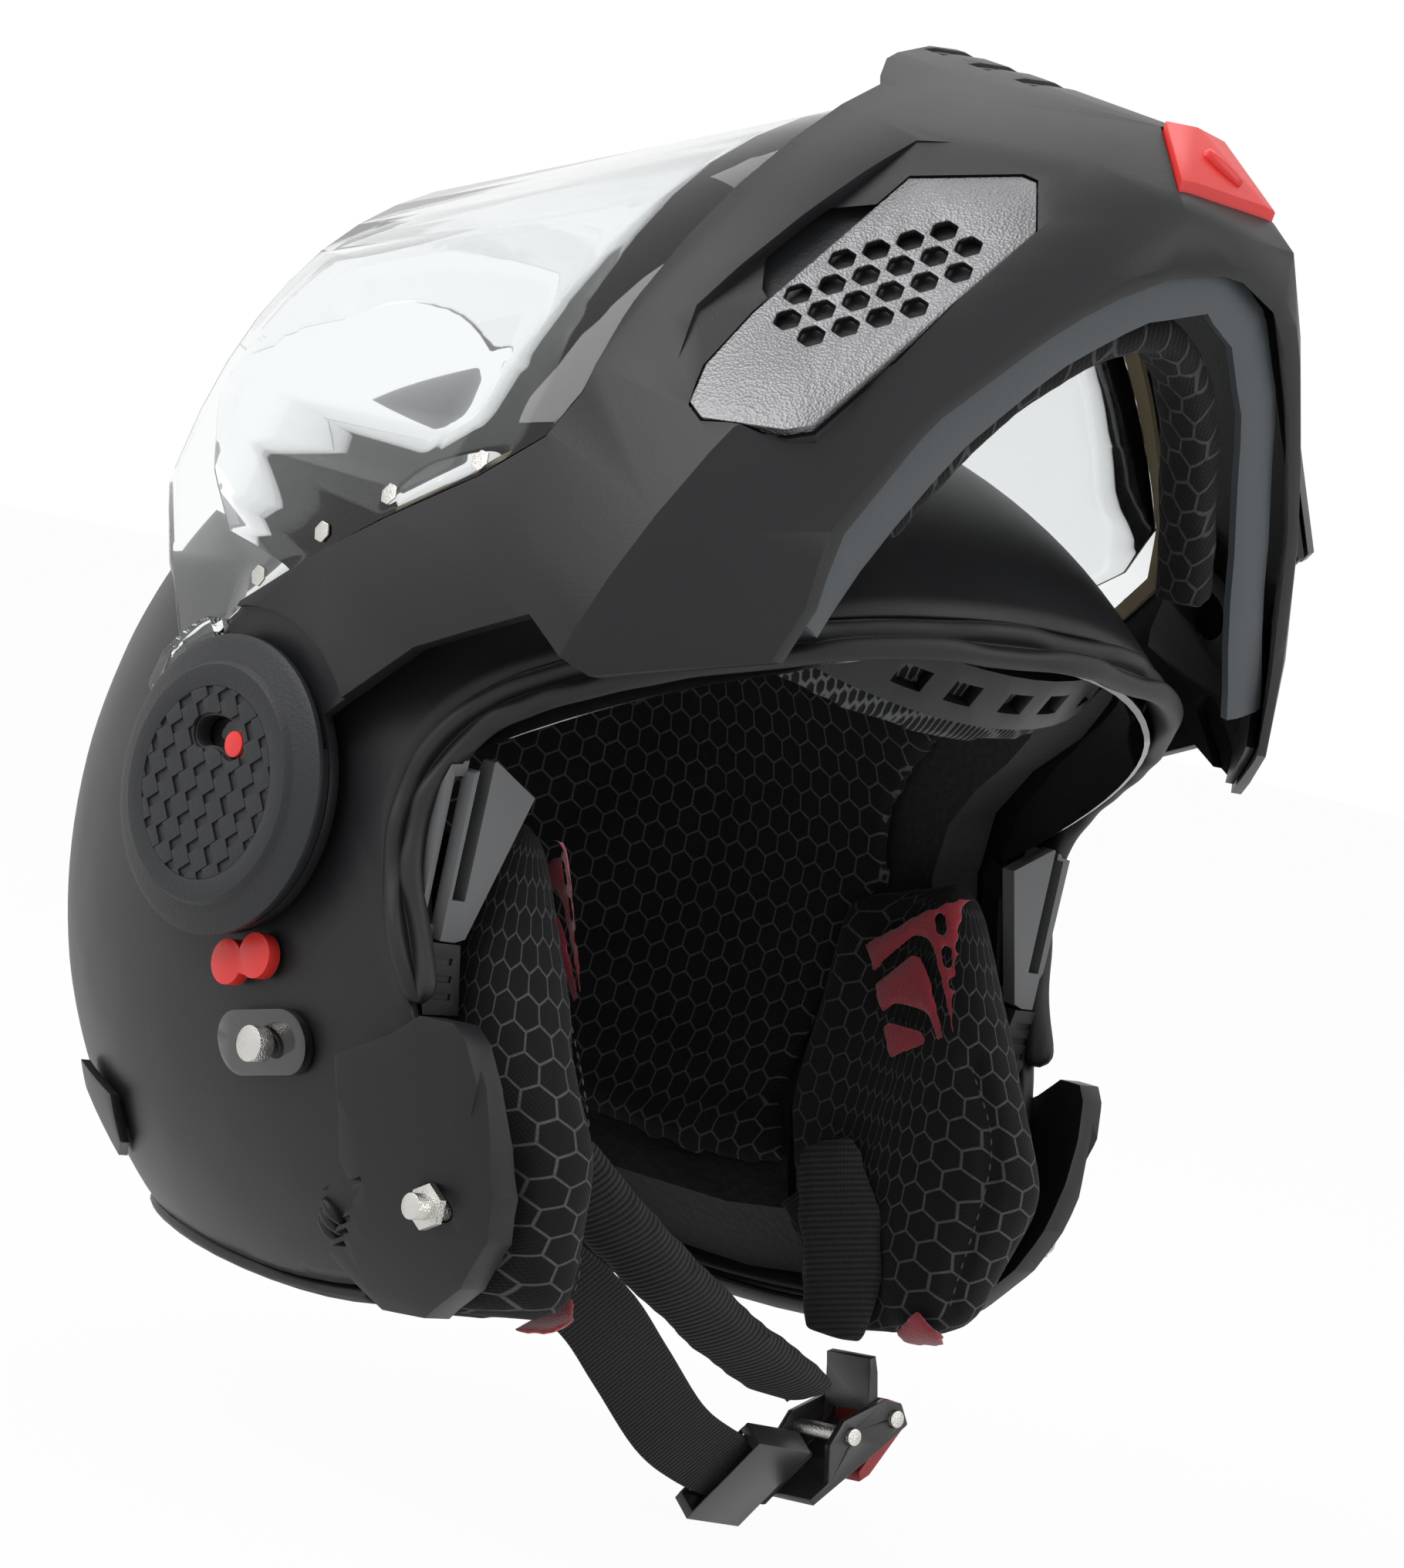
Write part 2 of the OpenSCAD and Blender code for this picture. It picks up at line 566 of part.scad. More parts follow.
module arm_plate() {
    play = latch_pin_r + latch_play;
    color("#191a1b") raised() difference() {
        intersection() {
            chin_band(chin_wall + seat_gap, chin_wall + 4.2);
            side_prism(plate_outline, -135, -60);
        }
        translate([0, latch_y, latch_z]) on_axis(60, 140, play);
        about_x(-45.3 - 25, 25) translate([latch_at - play, 60]) square([2 * play, 80]);
        translate([0, -101, -74]) on_axis(60, 140, 6);
    }
}
module arm_plate_right() { on_side(-1) arm_plate(); }
module arm_plate_left() { on_side(1) arm_plate(); }
// a place on the lower rim: how far round it, drawn in by some way and raised over it
function rim_place(t, inset, rise) = let (
    n = len(rim_half) - 2, k = max(0, min(n - 1, floor(abs(t) * n))), f = abs(t) * n - k,
    a = rim_half[n + 1 - k], b = rim_half[n - k], q = a + (b - a) * f, p = drawn_in([q], inset)[0])
    [p.x * (t < 0 ? -1 : 1), p.y, max(lookup(p.y, rim_rise), rim_z + rim_slope * (p.y + 77)) + rise];
rim_rise = [[-188, -130], [-167, -123.6], [-137, -117.5], [-107, -115.5], [-77, -117.6]];
module along_rim(end, inset, rise, w, t, n) {
    color("#4b5054") raised() tube([for (i = [0:n]) let (
        a = -end + 2 * end * i / n,
        c = rim_place(a, inset, rise),
        d = unit(rim_place(a + 0.04, inset, rise) - rim_place(a - 0.04, inset, rise)),
        u = unit(cross(d, [0, 0, 1])))
        oval(c, u, [0, 0, 1], w, t, 8)]);
}
module chin_trim() { along_rim(0.74, 6, 4, 12.6, 4, 28); }
module chin_pad() { along_rim(0.56, 19.2, 14, 13, 20, 24); }
// the grille's hexagonal holes: where each row starts and how many holes it has
hole_rows = [[0, 4], [-1, 6], [-1, 6], [0, 4]];
hole_pitch = 7.8;
hole_r = 3.3;
module grille_face(grow) { polygon([for (p = grille_outline) [-4, -4] + ([4, 4] + p) * grow]); }
module side_grille() {
    color("#8f9194") raised() on_grille() difference() {
        translate([0, 0, -grille_t]) linear_extrude(height = grille_t) grille_face(1);
        for (j = [0:3]) for (i = [0:hole_rows[j][1] - 1]) let (
            a = hole_rows[j][0] + i - 1.5,
            b = j - 1.5)
            translate([a - b / 2, -b * sin(60), -4] * hole_pitch) cylinder(r = hole_r, h = 60, $fn = 6);
    }
}
module side_grille_right() { on_side(-1) side_grille(); }
module side_grille_left() { on_side(1) side_grille(); }
module front_vent() {
    half = vent_half_w - seat_gap;
    h = vent_h - 2 * seat_gap;
    curve = [for (i = [-4:4]) let (x = half * i / 4) [x, 0.8 + 0.0085 * x * x - front_reach]];
    color("#232426") raised() for (z = vent_z) translate([0, 0, z - h / 2]) difference() {
        linear_extrude(height = h) polygon(concat(curve, [[half, 7.5 - front_reach], [-half, 7.5 - front_reach]]));
        translate([0, -200, h / 2]) cube([2 * vent_half_w - 4, 60, 2.4], center = true);
    }
}
// the cover of a pivot, with the curved slot that shows the red pin
slot_from = 57.5 - raise_deg;
slot_to = slot_from + 54;
module slot_cut(half, x0, x1) {
    about_x(slot_from, slot_to - slot_from) translate([shield_pin_at - half, x0]) square([2 * half, x1 - x0]);
    for (a = [slot_from, slot_to])
        translate([0, -shield_pin_at * cos(a), shield_pin_at * sin(a)]) on_axis(x0, x1, half);
}
module pivot_cover() {
    top = cover_x + cover_t;
    color("#2a2b2d") raised() difference() {
        union() {
            about_x(0, 360) polygon([[0, cover_x], [cover_r, cover_x], [cover_r, cover_x + 1.4], [disc_r + 1, top - 1.6],
                [disc_r, top], [inset_r, top], [inset_r, top - 1.2], [0, top - 1.2]]);
            about_x(115, 190) translate([arm_end_r - 4, arm_x + arm_t])
                square([3.5, cover_x - arm_x - arm_t + 0.5]);
        }
        slot_cut(shield_pin_r + 0.5, cover_x - 1, top + 1);
    }
}
module pivot_cover_right() { on_side(-1) pivot_cover(); }
module pivot_cover_left() { on_side(1) pivot_cover(); }
module tread_inset() {
    top = cover_x + cover_t;
    pitch = block_w + 0.9;
    n = ceil(inset_r / pitch);
    color("#232426") raised() difference() {
        intersection() {
            union() {
                on_axis(top - 1.1, top - 0.6, inset_r - 0.1);
                for (i = [-n:n]) for (j = [-n:n])
                    translate([-top, (i + 0.25 * (j % 2)) * pitch, j * pitch]) rotate([45, 0, 0])
                        translate([0, -block_w / 2, -block_w / 2]) cube([0.7, block_w, block_w]);
            }
            on_axis(top - 2, top + 2, inset_r - 0.1);
        }
        slot_cut(shield_pin_r + 1, top - 3, top + 2);
    }
}
module tread_inset_right() { on_side(-1) tread_inset(); }
module tread_inset_left() { on_side(1) tread_inset(); }
module release_button() {
    color("#d8322c") raised() intersection() {
        chin_band(-1.5, chin_wall);
        front_prism(button_outline(0), -240, -150);
    }
}

// ======== shield ========
// the shield leans back over the forehead: half width, reach, start of the curve, roundness and height of each level
shield_levels = [[0, 210, 60, 1.7, -64], [0.3, 196.5, 58, 1.75, -20], [2.8, 168, 48, 1.95, 24], [4.6, 154.5, 42, 2.3, 50],
    [10.5, 149.5, 38, 2.5, 67], [39, 128, 44, 2.35, 101], [80, 108, 60, 2, 124]];
module shield_form(inset) {
    hull_of([for (l = shield_levels)
        each at_slope(plan(chin_half_w - l[0] - inset, l[1] - inset, l[2], l[3]), l[4], 0, 0)]);
}
shield_rise = seat_gap + 0.3;
shield_top = [[-97, 123.5], [-90, 110], [-82, 96], [-68, 80], [-50, 63], [-36, 47], [-22, 35]];
shield_outline = concat([[-21, 20], [-27, 21.8]], [for (p = window_low) p + [0, shield_rise + 0.4]],
    [[-240, -17], [-240, 123.5]], shield_top, [[-14, 31]]);
ear_outline = [[4, 12], [-12, -4], [-29, 18], [-34, 24], [-40, 32], [-12, 37]];
module shield() {
    color([0.9, 0.93, 0.95, 0.4]) raised() union() {
        difference() {
            intersection() {
                shield_form(0);
                side_prism(shield_outline, -150, 150);
            }
            shield_form(shield_t);
            on_axis(-160, 160, arm_end_r + 1.5);
        }
        for (s = [-1, 1]) on_side(s) intersection() {
            difference() {
                on_axis(chin_half_w - 8.3, ear_x + ear_t, cover_r + 6);
                on_axis(80, 160, arm_end_r + 2.1);
            }
            side_prism(ear_outline, -160, -80);
        }
        for (s = [-1, 1]) on_side(s) difference() {
            intersection() {
                on_axis(ear_x, ear_x + ear_t, cover_r + 6);
                union() {
                    on_axis(ear_x, ear_x + ear_t, 19);
                    side_prism(ear_outline, -160, -80);
                }
            }
            on_axis(60, 160, retainer_r + run_gap);
        }
    }
}
module shield_seal() {
    color("#8c7a55") raised() difference() {
        intersection() {
            shield_form(shield_t + seat_gap);
            side_prism(concat([for (p = window_low) p + [0.5, 1]], [[-240, -16], [-240, -11]],
                [for (i = [len(window_low) - 1:-1:1]) window_low[i] + [1, 6]]), -150, 150);
        }
        shield_form(shield_t + 1.8);
    }
}
lens_outline = [[-52, 15], [-64, 0], [-88, -22], [-102, -41], [-116, -50], [-160, -42], [-196, -34], [-240, -12],
    [-240, 96], [-104, 96], [-84, 74], [-64, 52], [-52, 36]];
module inner_lens() {
    color([0.85, 0.9, 0.92, 0.4]) raised() difference() {
        intersection() {
            shield_form(shield_t + 2.1);
            side_prism(lens_outline, -150, 150);
        }
        shield_form(shield_t + 3.1);
    }
}
clip_at = [[-47, 14.5], [-63.3, -2], [-78, -18.5], [-93.3, -39.7]];
module lens_clips() {
    color("#c9c4b0") raised() for (s = [-1, 1]) on_side(s) for (p = clip_at) intersection() {
        difference() {
            shield_form(-0.8);
            shield_form(-seat_gap);
        }
        translate([0, p.x, p.y]) on_axis(60, 140, 2.6, 6);
    }
}
module shield_pins() {
    color("#e03a30") raised() for (s = [-1, 1]) on_side(s)
        translate([0, -shield_pin_at * cos(slot_from), shield_pin_at * sin(slot_from)])
            on_axis(ear_x + ear_t, cover_x + cover_t - 0.4, shield_pin_r);
}

// ======== sun visor ========
visor_ear_x = visor_half_w * sin(80);
module sun_visor() {
    n = 20;
    function x_at(i) = visor_half_w * sin(80 * i / n);
    outline = concat(
        [for (i = [-n:n]) [visor_ring(x_at(i), visor_r), x_at(i)]],
        [for (i = [n:-1:-n]) [visor_ring(x_at(i), visor_r) - visor_t, x_at(i)]]);
    ear_r = visor_ring(visor_ear_x, visor_r);
    color("#0b0b0d") difference() {
        union() {
            intersection() {
                visor_turn(outline, visor_low, visor_sweep);
                side_prism([[-10, -6], [-170, 90], [-170, 200], [150, 200], [150, -6]], -150, 150);
            }
            for (s = [0, 1]) mirror([s, 0, 0]) visor_turn([[0, visor_ear_x - visor_t], [ear_r, visor_ear_x - visor_t],
                [ear_r, visor_ear_x], [0, visor_ear_x]], visor_low + 16, visor_sweep - 16);
            translate([0, visor_y, visor_z]) for (s = [-1, 1]) on_side(s)
                on_axis(visor_ear_x - visor_t, visor_ear_x, 9);
        }
        translate([0, visor_y, visor_z]) on_axis(-150, 150, visor_pin_r + run_gap);
    }
}
visor_pin_r = 3.5;
module visor_pins() {
    color("#444444") for (s = [-1, 1]) on_side(s) translate([0, visor_y, visor_z]) {
        on_axis(visor_ear_x - visor_t - 2, land_x - shell_wall - 1, visor_pin_r);
        on_axis(visor_ear_x + seat_gap, land_x - shell_wall - 1, visor_pin_r + 3);
    }
}
lever_x = land_x + seat_gap;
module visor_lever() {
    color("#e03a30") union() {
        translate([0, -18, -36]) on_axis(lever_x, lever_x + 3.4, 5.3);
        translate([0, -9, -39.5]) on_axis(lever_x, lever_x + 3.4, 5.3);
        translate([-lever_x - 3.4, -18, -41]) cube([3.4, 9, 4]);
    }
}

// ======== chin strap ========
// the webbing's route and the direction of its width, on each side
web_across = unit([0.3, -0.52, 0.78]);
right_route = [[-70, -30, -78], [-57, -38, -87], [-44, -48, -95], [-27, -58, -106], [-12, -60, -119], [6, -60, -134], [20, -60, -141],
    [34, -60, -145], [53.5, -60, -147.2]];
left_route = [[66, -36, -76], [67, -46, -84], [70, -54, -92], [75, -58, -97]];
module webbing(route, grow = 0, upto = 99) {
    n = len(route) - 1;
    tube([for (i = [0:min(n, upto)]) let (
        d = unit(route[min(i + 1, n)] - route[max(i - 1, 0)]),
        w = unit(web_across - d * (d * web_across)),
        t = cross(w, d))
        [for (q = [[-1, -1], [1, -1], [1, 1], [-1, 1]])
            route[i] + w * (web_w / 2 + grow) * q.x + t * (web_t / 2 + grow) * q.y - d * (i == 0 ? grow : 0)]]);
}
module strap_right() { color("#161616") webbing(right_route); }
module strap_left() { color("#161616") webbing(left_route); }
right_sleeve = [[-64, -36, -52], [-42, -45, -69], [-22, -54, -86], [-4, -58, -98], [18, -60, -110], [40, -60, -119],
    [57, -60, -124]];
left_sleeve = [[58, -44, -62], [60, -52, -80], [62, -57, -98], [61, -58, -113]];
module sleeve(route, w, t, grow = 0, upto = 99) {
    n = len(route) - 1;
    tube([for (i = [0:min(n, upto)]) let (
        d = unit(route[min(i + 1, n)] - route[max(i - 1, 0)]),
        a = unit(sleeve_across - d * (d * sleeve_across)),
        k = (i == 0 || i == n) ? 0.72 : 1)
        oval(route[i] - d * (i == 0 ? grow : 0), a, cross(a, d), w * k + 2 * grow, t * k + 2 * grow, 10)]);
}
sleeve_across = unit([0.35, -0.87, 0.35]);
module strap_pad_right() { color("#1c1c1c") sleeve(right_sleeve, 26, 10); }
module strap_pad_left() { color("#1c1c1c") sleeve(left_sleeve, 26, 9); }
// pieces of the buckle, drawn along +X with their width along Y, then turned onto the strap's end
buckle_at = [53, -60, -147];
buckle_turn = [-38, -11.5];
link_pivot = [16, 0, 2.6];
lever_pivot = [30, 0, -2];
buckle_pin_r = 2.2;
buckle_w = 22;
module on_buckle() {
    translate(buckle_at) rotate([0, buckle_turn[0], 0]) rotate([buckle_turn[1], 0, 0]) children();
}
module across(w) { rotate([90, 0, 0]) linear_extrude(height = w, center = true) children(); }
module across_pin(at, r, w) { translate(at) rotate([90, 0, 0]) cylinder(r = r, h = w, center = true, $fn = 48); }
module strap_slider() {
    color("#151515") translate([37, -60, -146.5]) rotate([0, 6.3, 0]) rotate([-57, 0, 0]) difference() {
        cube([20, web_w + 9, 7], center = true);
        cube([30, web_w + 3.6, web_t + 4.4], center = true);
        for (x = [-5.5, 5.5]) translate([x, 0, 4]) cube([5, web_w + 2, 6], center = true);
    }
}
module buckle_body() {
    color("#202124") on_buckle() difference() {
        union() {
            across(buckle_w) polygon([[-3, -5], [22, -5], [22, -3], [-3, -3]]);
            for (s = [-1, 1]) translate([0, s * (buckle_w / 2 - 1), 0]) across(2)
                polygon([[-2, -5], [24, -6], [33, -6], [34, 0], [30, 4], [16, 7.5], [9, 5], [4, -3]]);
            across(buckle_w - 5) polygon([[25, 3], [29, 3], [33, 10], [34.5, 14], [32.5, 14.6], [31, 12]]);
            for (s = [-1, 1]) translate([0, s * (buckle_w / 2 - 2.2), 0]) across(2) polygon([[25, 3], [29, 3], [26, 0], [22, 0]]);
        }
        for (p = [link_pivot, lever_pivot]) across_pin(p, buckle_pin_r, 60);
    }
}
module buckle_pins() {
    color("#d0d0d0") on_buckle() for (p = [link_pivot, lever_pivot])
        across_pin(p, buckle_pin_r - run_gap, buckle_w + 2.4);
}
module buckle_lever() {
    color("#a82822") on_buckle() difference() {
        across(buckle_w - 6) polygon([[26.5, 0], [33, 1.5], [36, -2], [33, -8], [18, -11.5], [14.5, -11], [15.5, -8.6], [27, -5.5]]);
        across_pin(lever_pivot, buckle_pin_r + run_gap, 60);
    }
}
module pull_tabs() {
    color("#d03028") for (s = [-1, 1]) on_side(s) intersection() {
        difference() {
            cheek_form(seat_gap + 1.6);
            cheek_form(seat_gap);
        }
        translate([-64, -82, -104]) rotate([42, 0, 0]) cube([12, 9, 14], center = true);
    }
}

outer_shell();
eyeport_seal();
rim_trim();
eps_liner();
crown_pad();
brow_frame();
brow_pad();
cheek_pad_right();
cheek_pad_left();
ear_patch_right();
ear_patch_left();
neck_roll();
side_trim_right();
side_trim_left();
cheek_bracket_right();
cheek_bracket_left();
lock_plate_right();
lock_plate_left();
latch_pins();
stud_plates();
side_studs();
pivot_bases();
pivot_retainers();
rear_vent();
chin_bar();
arm_plate_right();
arm_plate_left();
chin_trim();
chin_pad();
side_grille_right();
side_grille_left();
front_vent();
pivot_cover_right();
pivot_cover_left();
tread_inset_right();
tread_inset_left();
release_button();
shield();
shield_seal();
inner_lens();
lens_clips();
shield_pins();
sun_visor();
visor_pins();
visor_lever();
strap_right();
strap_left();
strap_pad_right();
strap_pad_left();
strap_slider();
buckle_body();
buckle_pins();
buckle_lever();
pull_tabs();
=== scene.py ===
import math

import bmesh
import bpy
from bpy.props import FloatProperty, FloatVectorProperty, PointerProperty
from mathutils import Matrix, Vector
from mathutils.bvhtree import BVHTree


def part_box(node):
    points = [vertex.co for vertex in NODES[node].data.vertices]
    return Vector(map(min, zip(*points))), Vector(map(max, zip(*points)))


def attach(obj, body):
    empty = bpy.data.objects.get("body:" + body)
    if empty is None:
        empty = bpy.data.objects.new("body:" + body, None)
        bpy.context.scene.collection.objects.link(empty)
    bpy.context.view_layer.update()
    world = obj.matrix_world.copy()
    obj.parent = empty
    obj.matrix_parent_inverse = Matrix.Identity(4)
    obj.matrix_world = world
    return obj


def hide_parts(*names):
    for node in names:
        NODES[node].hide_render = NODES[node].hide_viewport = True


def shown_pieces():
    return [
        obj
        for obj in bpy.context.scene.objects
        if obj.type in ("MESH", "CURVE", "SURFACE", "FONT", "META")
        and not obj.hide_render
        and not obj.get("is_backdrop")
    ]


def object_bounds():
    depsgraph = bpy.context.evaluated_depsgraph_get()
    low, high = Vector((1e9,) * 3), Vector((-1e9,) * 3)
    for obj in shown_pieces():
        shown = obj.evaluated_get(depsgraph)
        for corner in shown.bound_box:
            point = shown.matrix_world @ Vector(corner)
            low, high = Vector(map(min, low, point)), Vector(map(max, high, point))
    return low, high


bl_info = {
    "name": "Flip-up helmet",
    "version": (1, 0, 0),
    "blender": (4, 5, 0),
    "location": "View3D > Sidebar > Helmet",
    "description": "Dresses the packed CAD model of a flip-up motorcycle helmet",
    "category": "Object",
}

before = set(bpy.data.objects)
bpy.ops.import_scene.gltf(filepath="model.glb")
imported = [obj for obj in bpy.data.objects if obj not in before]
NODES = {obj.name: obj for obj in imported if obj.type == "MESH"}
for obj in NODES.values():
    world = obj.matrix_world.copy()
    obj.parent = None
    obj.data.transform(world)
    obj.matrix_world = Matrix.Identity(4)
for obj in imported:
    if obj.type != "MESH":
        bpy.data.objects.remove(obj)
CAD_BOX = [list(corner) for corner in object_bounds()]
MM = 0.001

# The photograph's frame, scaled to a long side of 1568, and the named points in it.
IMAGE_W, IMAGE_H = 1404, 1568
POINTS = {
    "left": (68, None),
    "right": (1315, None),
    "top": (None, 46),
    "bottom": (None, 1527),
    "pivot_cover": (222, 785),
    "side_stud": (255, 1044),
    "lock_pin": (424, 1207),
    "button": (1220, 167),
    "grille": (869, 307),
    "visor_lever": (246, 959),
    "ear_patch": (919, 978),
    "cheek_seam": (992, 1158),
    "cheek_seam_foot": (952, 1303),
    "cheek_seam_head": (972, 1064),
    "lock_ribs": (334, 1211),
}

# The camera, as fitted to the photograph: where it looks, from where and how it is turned.
AIM = Vector((15.75, -14.95, 19.02)) * MM
AZIMUTH, ELEVATION, ROLL = -46.270, 3.2226, 12.4958
DISTANCE = 1.12399
LENS, SENSOR = 102.81, 36.0


# ---- shader maths ----


class Wire:
    """A shader value: arithmetic on wires adds Math nodes."""

    def __init__(self, paint, socket):
        self.paint = paint
        self.socket = socket

    def __add__(self, other):
        return self.paint.maths("ADD", self, other)

    def __sub__(self, other):
        return self.paint.maths("SUBTRACT", self, other)

    def __rsub__(self, other):
        return self.paint.maths("SUBTRACT", other, self)

    def __mul__(self, other):
        return self.paint.maths("MULTIPLY", self, other)

    def __truediv__(self, other):
        return self.paint.maths("DIVIDE", self, other)

    def __mod__(self, other):
        return self.paint.maths("FLOORED_MODULO", self, other)

    def __lt__(self, other):
        return self.paint.maths("LESS_THAN", self, other)

    def __abs__(self):
        return self.paint.maths("ABSOLUTE", self)

    __radd__ = __add__
    __rmul__ = __mul__

    def most(self, other):
        return self.paint.maths("MAXIMUM", self, other)

    def sine(self):
        return self.paint.maths("SINE", self)

    def step(self, low, high):
        """0 below low, 1 above high and a straight slope between."""
        return self.paint.maths("MULTIPLY", self - low, 1 / (high - low), clamp=True)


class Paint:
    """A node material and the nodes that feed its shader."""

    def __init__(self, name):
        self.material = bpy.data.materials.new(name)
        self.material.use_nodes = True
        self.tree = self.material.node_tree
        self.shader = self.tree.nodes["Principled BSDF"]

    def node(self, kind, settings, values):
        made = self.tree.nodes.new(kind)
        for name, value in settings.items():
            setattr(made, name, value)
        for name, value in values.items():
            self.feed(made.inputs[name], value)
        return made

    def feed(self, socket, value):
        if isinstance(value, Wire):
            self.tree.links.new(value.socket, socket)
        else:
            socket.default_value = value

    def maths(self, operation, *values, clamp=False):
        settings = {"operation": operation, "use_clamp": clamp}
        made = self.node("ShaderNodeMath", settings, dict(enumerate(values)))
        return Wire(self, made.outputs[0])

    def blend(self, factor, a, b):
        made = self.node("ShaderNodeMix", {"data_type": "RGBA"}, {0: factor, 6: a, 7: b})
        return Wire(self, made.outputs[2])

    def place(self):
        made = self.node("ShaderNodeTexCoord", {}, {})
        return Wire(self, made.outputs["Object"])

    def wrap(self):
        """The two lengths, in metres, of the piece's own wrap map."""
        chart = self.node("ShaderNodeUVMap", {"uv_map": "wrap"}, {})
        split = self.node("ShaderNodeSeparateXYZ", {}, {0: Wire(self, chart.outputs[0])})
        return Wire(self, split.outputs[0]), Wire(self, split.outputs[1])

    def noise(self, scale, detail=2.0, at=None):
        made = self.node("ShaderNodeTexNoise", {}, {
            "Vector": at or self.place(), "Scale": scale, "Detail": detail})
        return Wire(self, made.outputs[0])

    def cells(self, scale, at=None):
        made = self.node("ShaderNodeTexVoronoi", {"feature": "F1"}, {
            "Vector": at or self.place(), "Scale": scale})
        return Wire(self, made.outputs[0])

    def bump(self, height, distance, strength=1.0):
        made = self.node("ShaderNodeBump", {}, {"Height": height, "Distance": distance, "Strength": strength})
        self.shade({"Normal": Wire(self, made.outputs[0])})

    def shade(self, values):
        for name, value in values.items():
            self.feed(self.shader.inputs[name], value)
        return self


def colour(r, g, b):
    return (r, g, b, 1.0)


def honeycomb(paint, pitch, line):
    """1 on the lines of a net of hexagons and 0 inside them, on the wrap map."""
    u, v = paint.wrap()
    u, v = u / pitch, v / pitch
    tall = math.sqrt(3)
    ax, ay = (u % 1) - 0.5, (v % tall) - tall / 2
    bx, by = ((u - 0.5) % 1) - 0.5, ((v - tall / 2) % tall) - tall / 2
    near = (ax * ax + ay * ay) < (bx * bx + by * by)
    far = 1 - near
    x, y = abs(ax * near + bx * far), abs(ay * near + by * far)
    edge = x.most(x * 0.5 + y * 0.866)
    return edge.step(0.5 - line, 0.5 - line * 0.5)


def moulded(name, tint, roughness, grain=0.00006, fine=1500, coat=0.0, gloss=0.5):
    """Moulded or painted plastic: fine grain and slightly uneven gloss."""
    paint = Paint(name)
    wear = paint.noise(26, 3)
    speck = paint.noise(fine, 1)
    darker = colour(*[c * 0.86 for c in tint])
    lighter = colour(*[min(1.0, c * 1.12) for c in tint])
    paint.shade({"Base Color": paint.blend(wear, darker, lighter), "Specular IOR Level": gloss})
    paint.shade({"Roughness": wear * 0.12 + (roughness - 0.06), "Coat Weight": coat})
    paint.shader.inputs["Coat Roughness"].default_value = 0.06
    paint.bump(speck, grain)
    return paint.material


def knit(name, ground, line, pitch, width):
    """Black knitted lining with paler hexagon lines and a fine knit between them."""
    paint = Paint(name)
    net = honeycomb(paint, pitch, width)
    paint.shade({"Specular IOR Level": 0.2})
    u, v = paint.wrap()
    loops = (u * 5200).sine() * (v * 5200).sine()
    pale = paint.noise(900, 2)
    thread = net * (pale * 0.7 + 0.55)
    paint.shade({"Base Color": paint.blend(thread, colour(*ground), colour(*line)), "Roughness": 0.9})
    paint.shader.inputs["Sheen Weight"].default_value = 0.06
    paint.bump(net * 0.9 + loops * 0.18, 0.0004)
    return paint.material


def ribbed(name, tint, pitch, across=True):
    """Corduroy or webbing: fine ribs across or along the wrap map."""
    paint = Paint(name)
    u, v = paint.wrap()
    turn = 2 * math.pi / pitch
    run, other = (u, v) if across else (v, u)
    rib = (run * turn).sine() * 0.5 + 0.5
    thread = (other * (turn * 1.7)).sine() * 0.5 + 0.5
    fuzz = paint.noise(1400, 2)
    mixed = rib * 0.6 + fuzz * 0.4
    dark = colour(*[c * 0.4 for c in tint])
    light = colour(*[c * 1.7 for c in tint])
    paint.shade({"Base Color": paint.blend(mixed, dark, light), "Roughness": 0.88})
    paint.shader.inputs["Sheen Weight"].default_value = 0.08
    paint.shader.inputs["Specular IOR Level"].default_value = 0.2
    paint.bump(rib + thread * 0.25, pitch * 0.22)
    return paint.material


def mesh_cloth(name, ground, line, pitch):
    """Three-dimensional mesh cloth: small dark holes in a paler net."""
    paint = Paint(name)
    net = honeycomb(paint, pitch, 0.2)
    fuzz = paint.noise(1600, 2)
    paint.shade({"Base Color": paint.blend(net * (fuzz * 0.6 + 0.6), colour(*ground), colour(*line))})
    paint.shade({"Roughness": 0.92, "Specular IOR Level": 0.2})
    paint.bump(net, 0.0006)
    return paint.material


def velvet(name, tint):
    """Short-pile cloth: blotches of lighter and darker pile and a soft sheen."""
    paint = Paint(name)
    pile = paint.noise(120, 4)
    fuzz = paint.noise(2200, 2)
    dark = colour(*[c * 0.5 for c in tint])
    light = colour(*[min(1, c * 1.35) for c in tint])
    paint.shade({"Base Color": paint.blend(pile * 0.6 + fuzz * 0.4, dark, light), "Roughness": 0.82})
    paint.shader.inputs["Sheen Weight"].default_value = 0.7
    paint.bump(fuzz + pile * 0.5, 0.0003)
    return paint.material


def foam(name, tint):
    """Pressed bead foam: shallow cells."""
    paint = Paint(name)
    bead = paint.cells(420)
    dark = colour(*[c * 0.7 for c in tint])
    paint.shade({"Base Color": paint.blend(bead, colour(*tint), dark), "Roughness": 0.85})
    paint.bump(1 - bead, 0.0003)
    return paint.material


def grained_metal(name, tint, roughness, metallic=1.0, grain=700):
    """Plated metal with a fine leather-like grain."""
    paint = Paint(name)
    pits = paint.cells(grain)
    wear = paint.noise(60, 3)
    dark = colour(*[c * 0.6 for c in tint])
    paint.shade({"Metallic": metallic, "Base Color": paint.blend(wear, dark, colour(*tint))})
    paint.shade({"Roughness": wear * 0.15 + roughness})
    paint.bump(pits, 0.00012)
    return paint.material


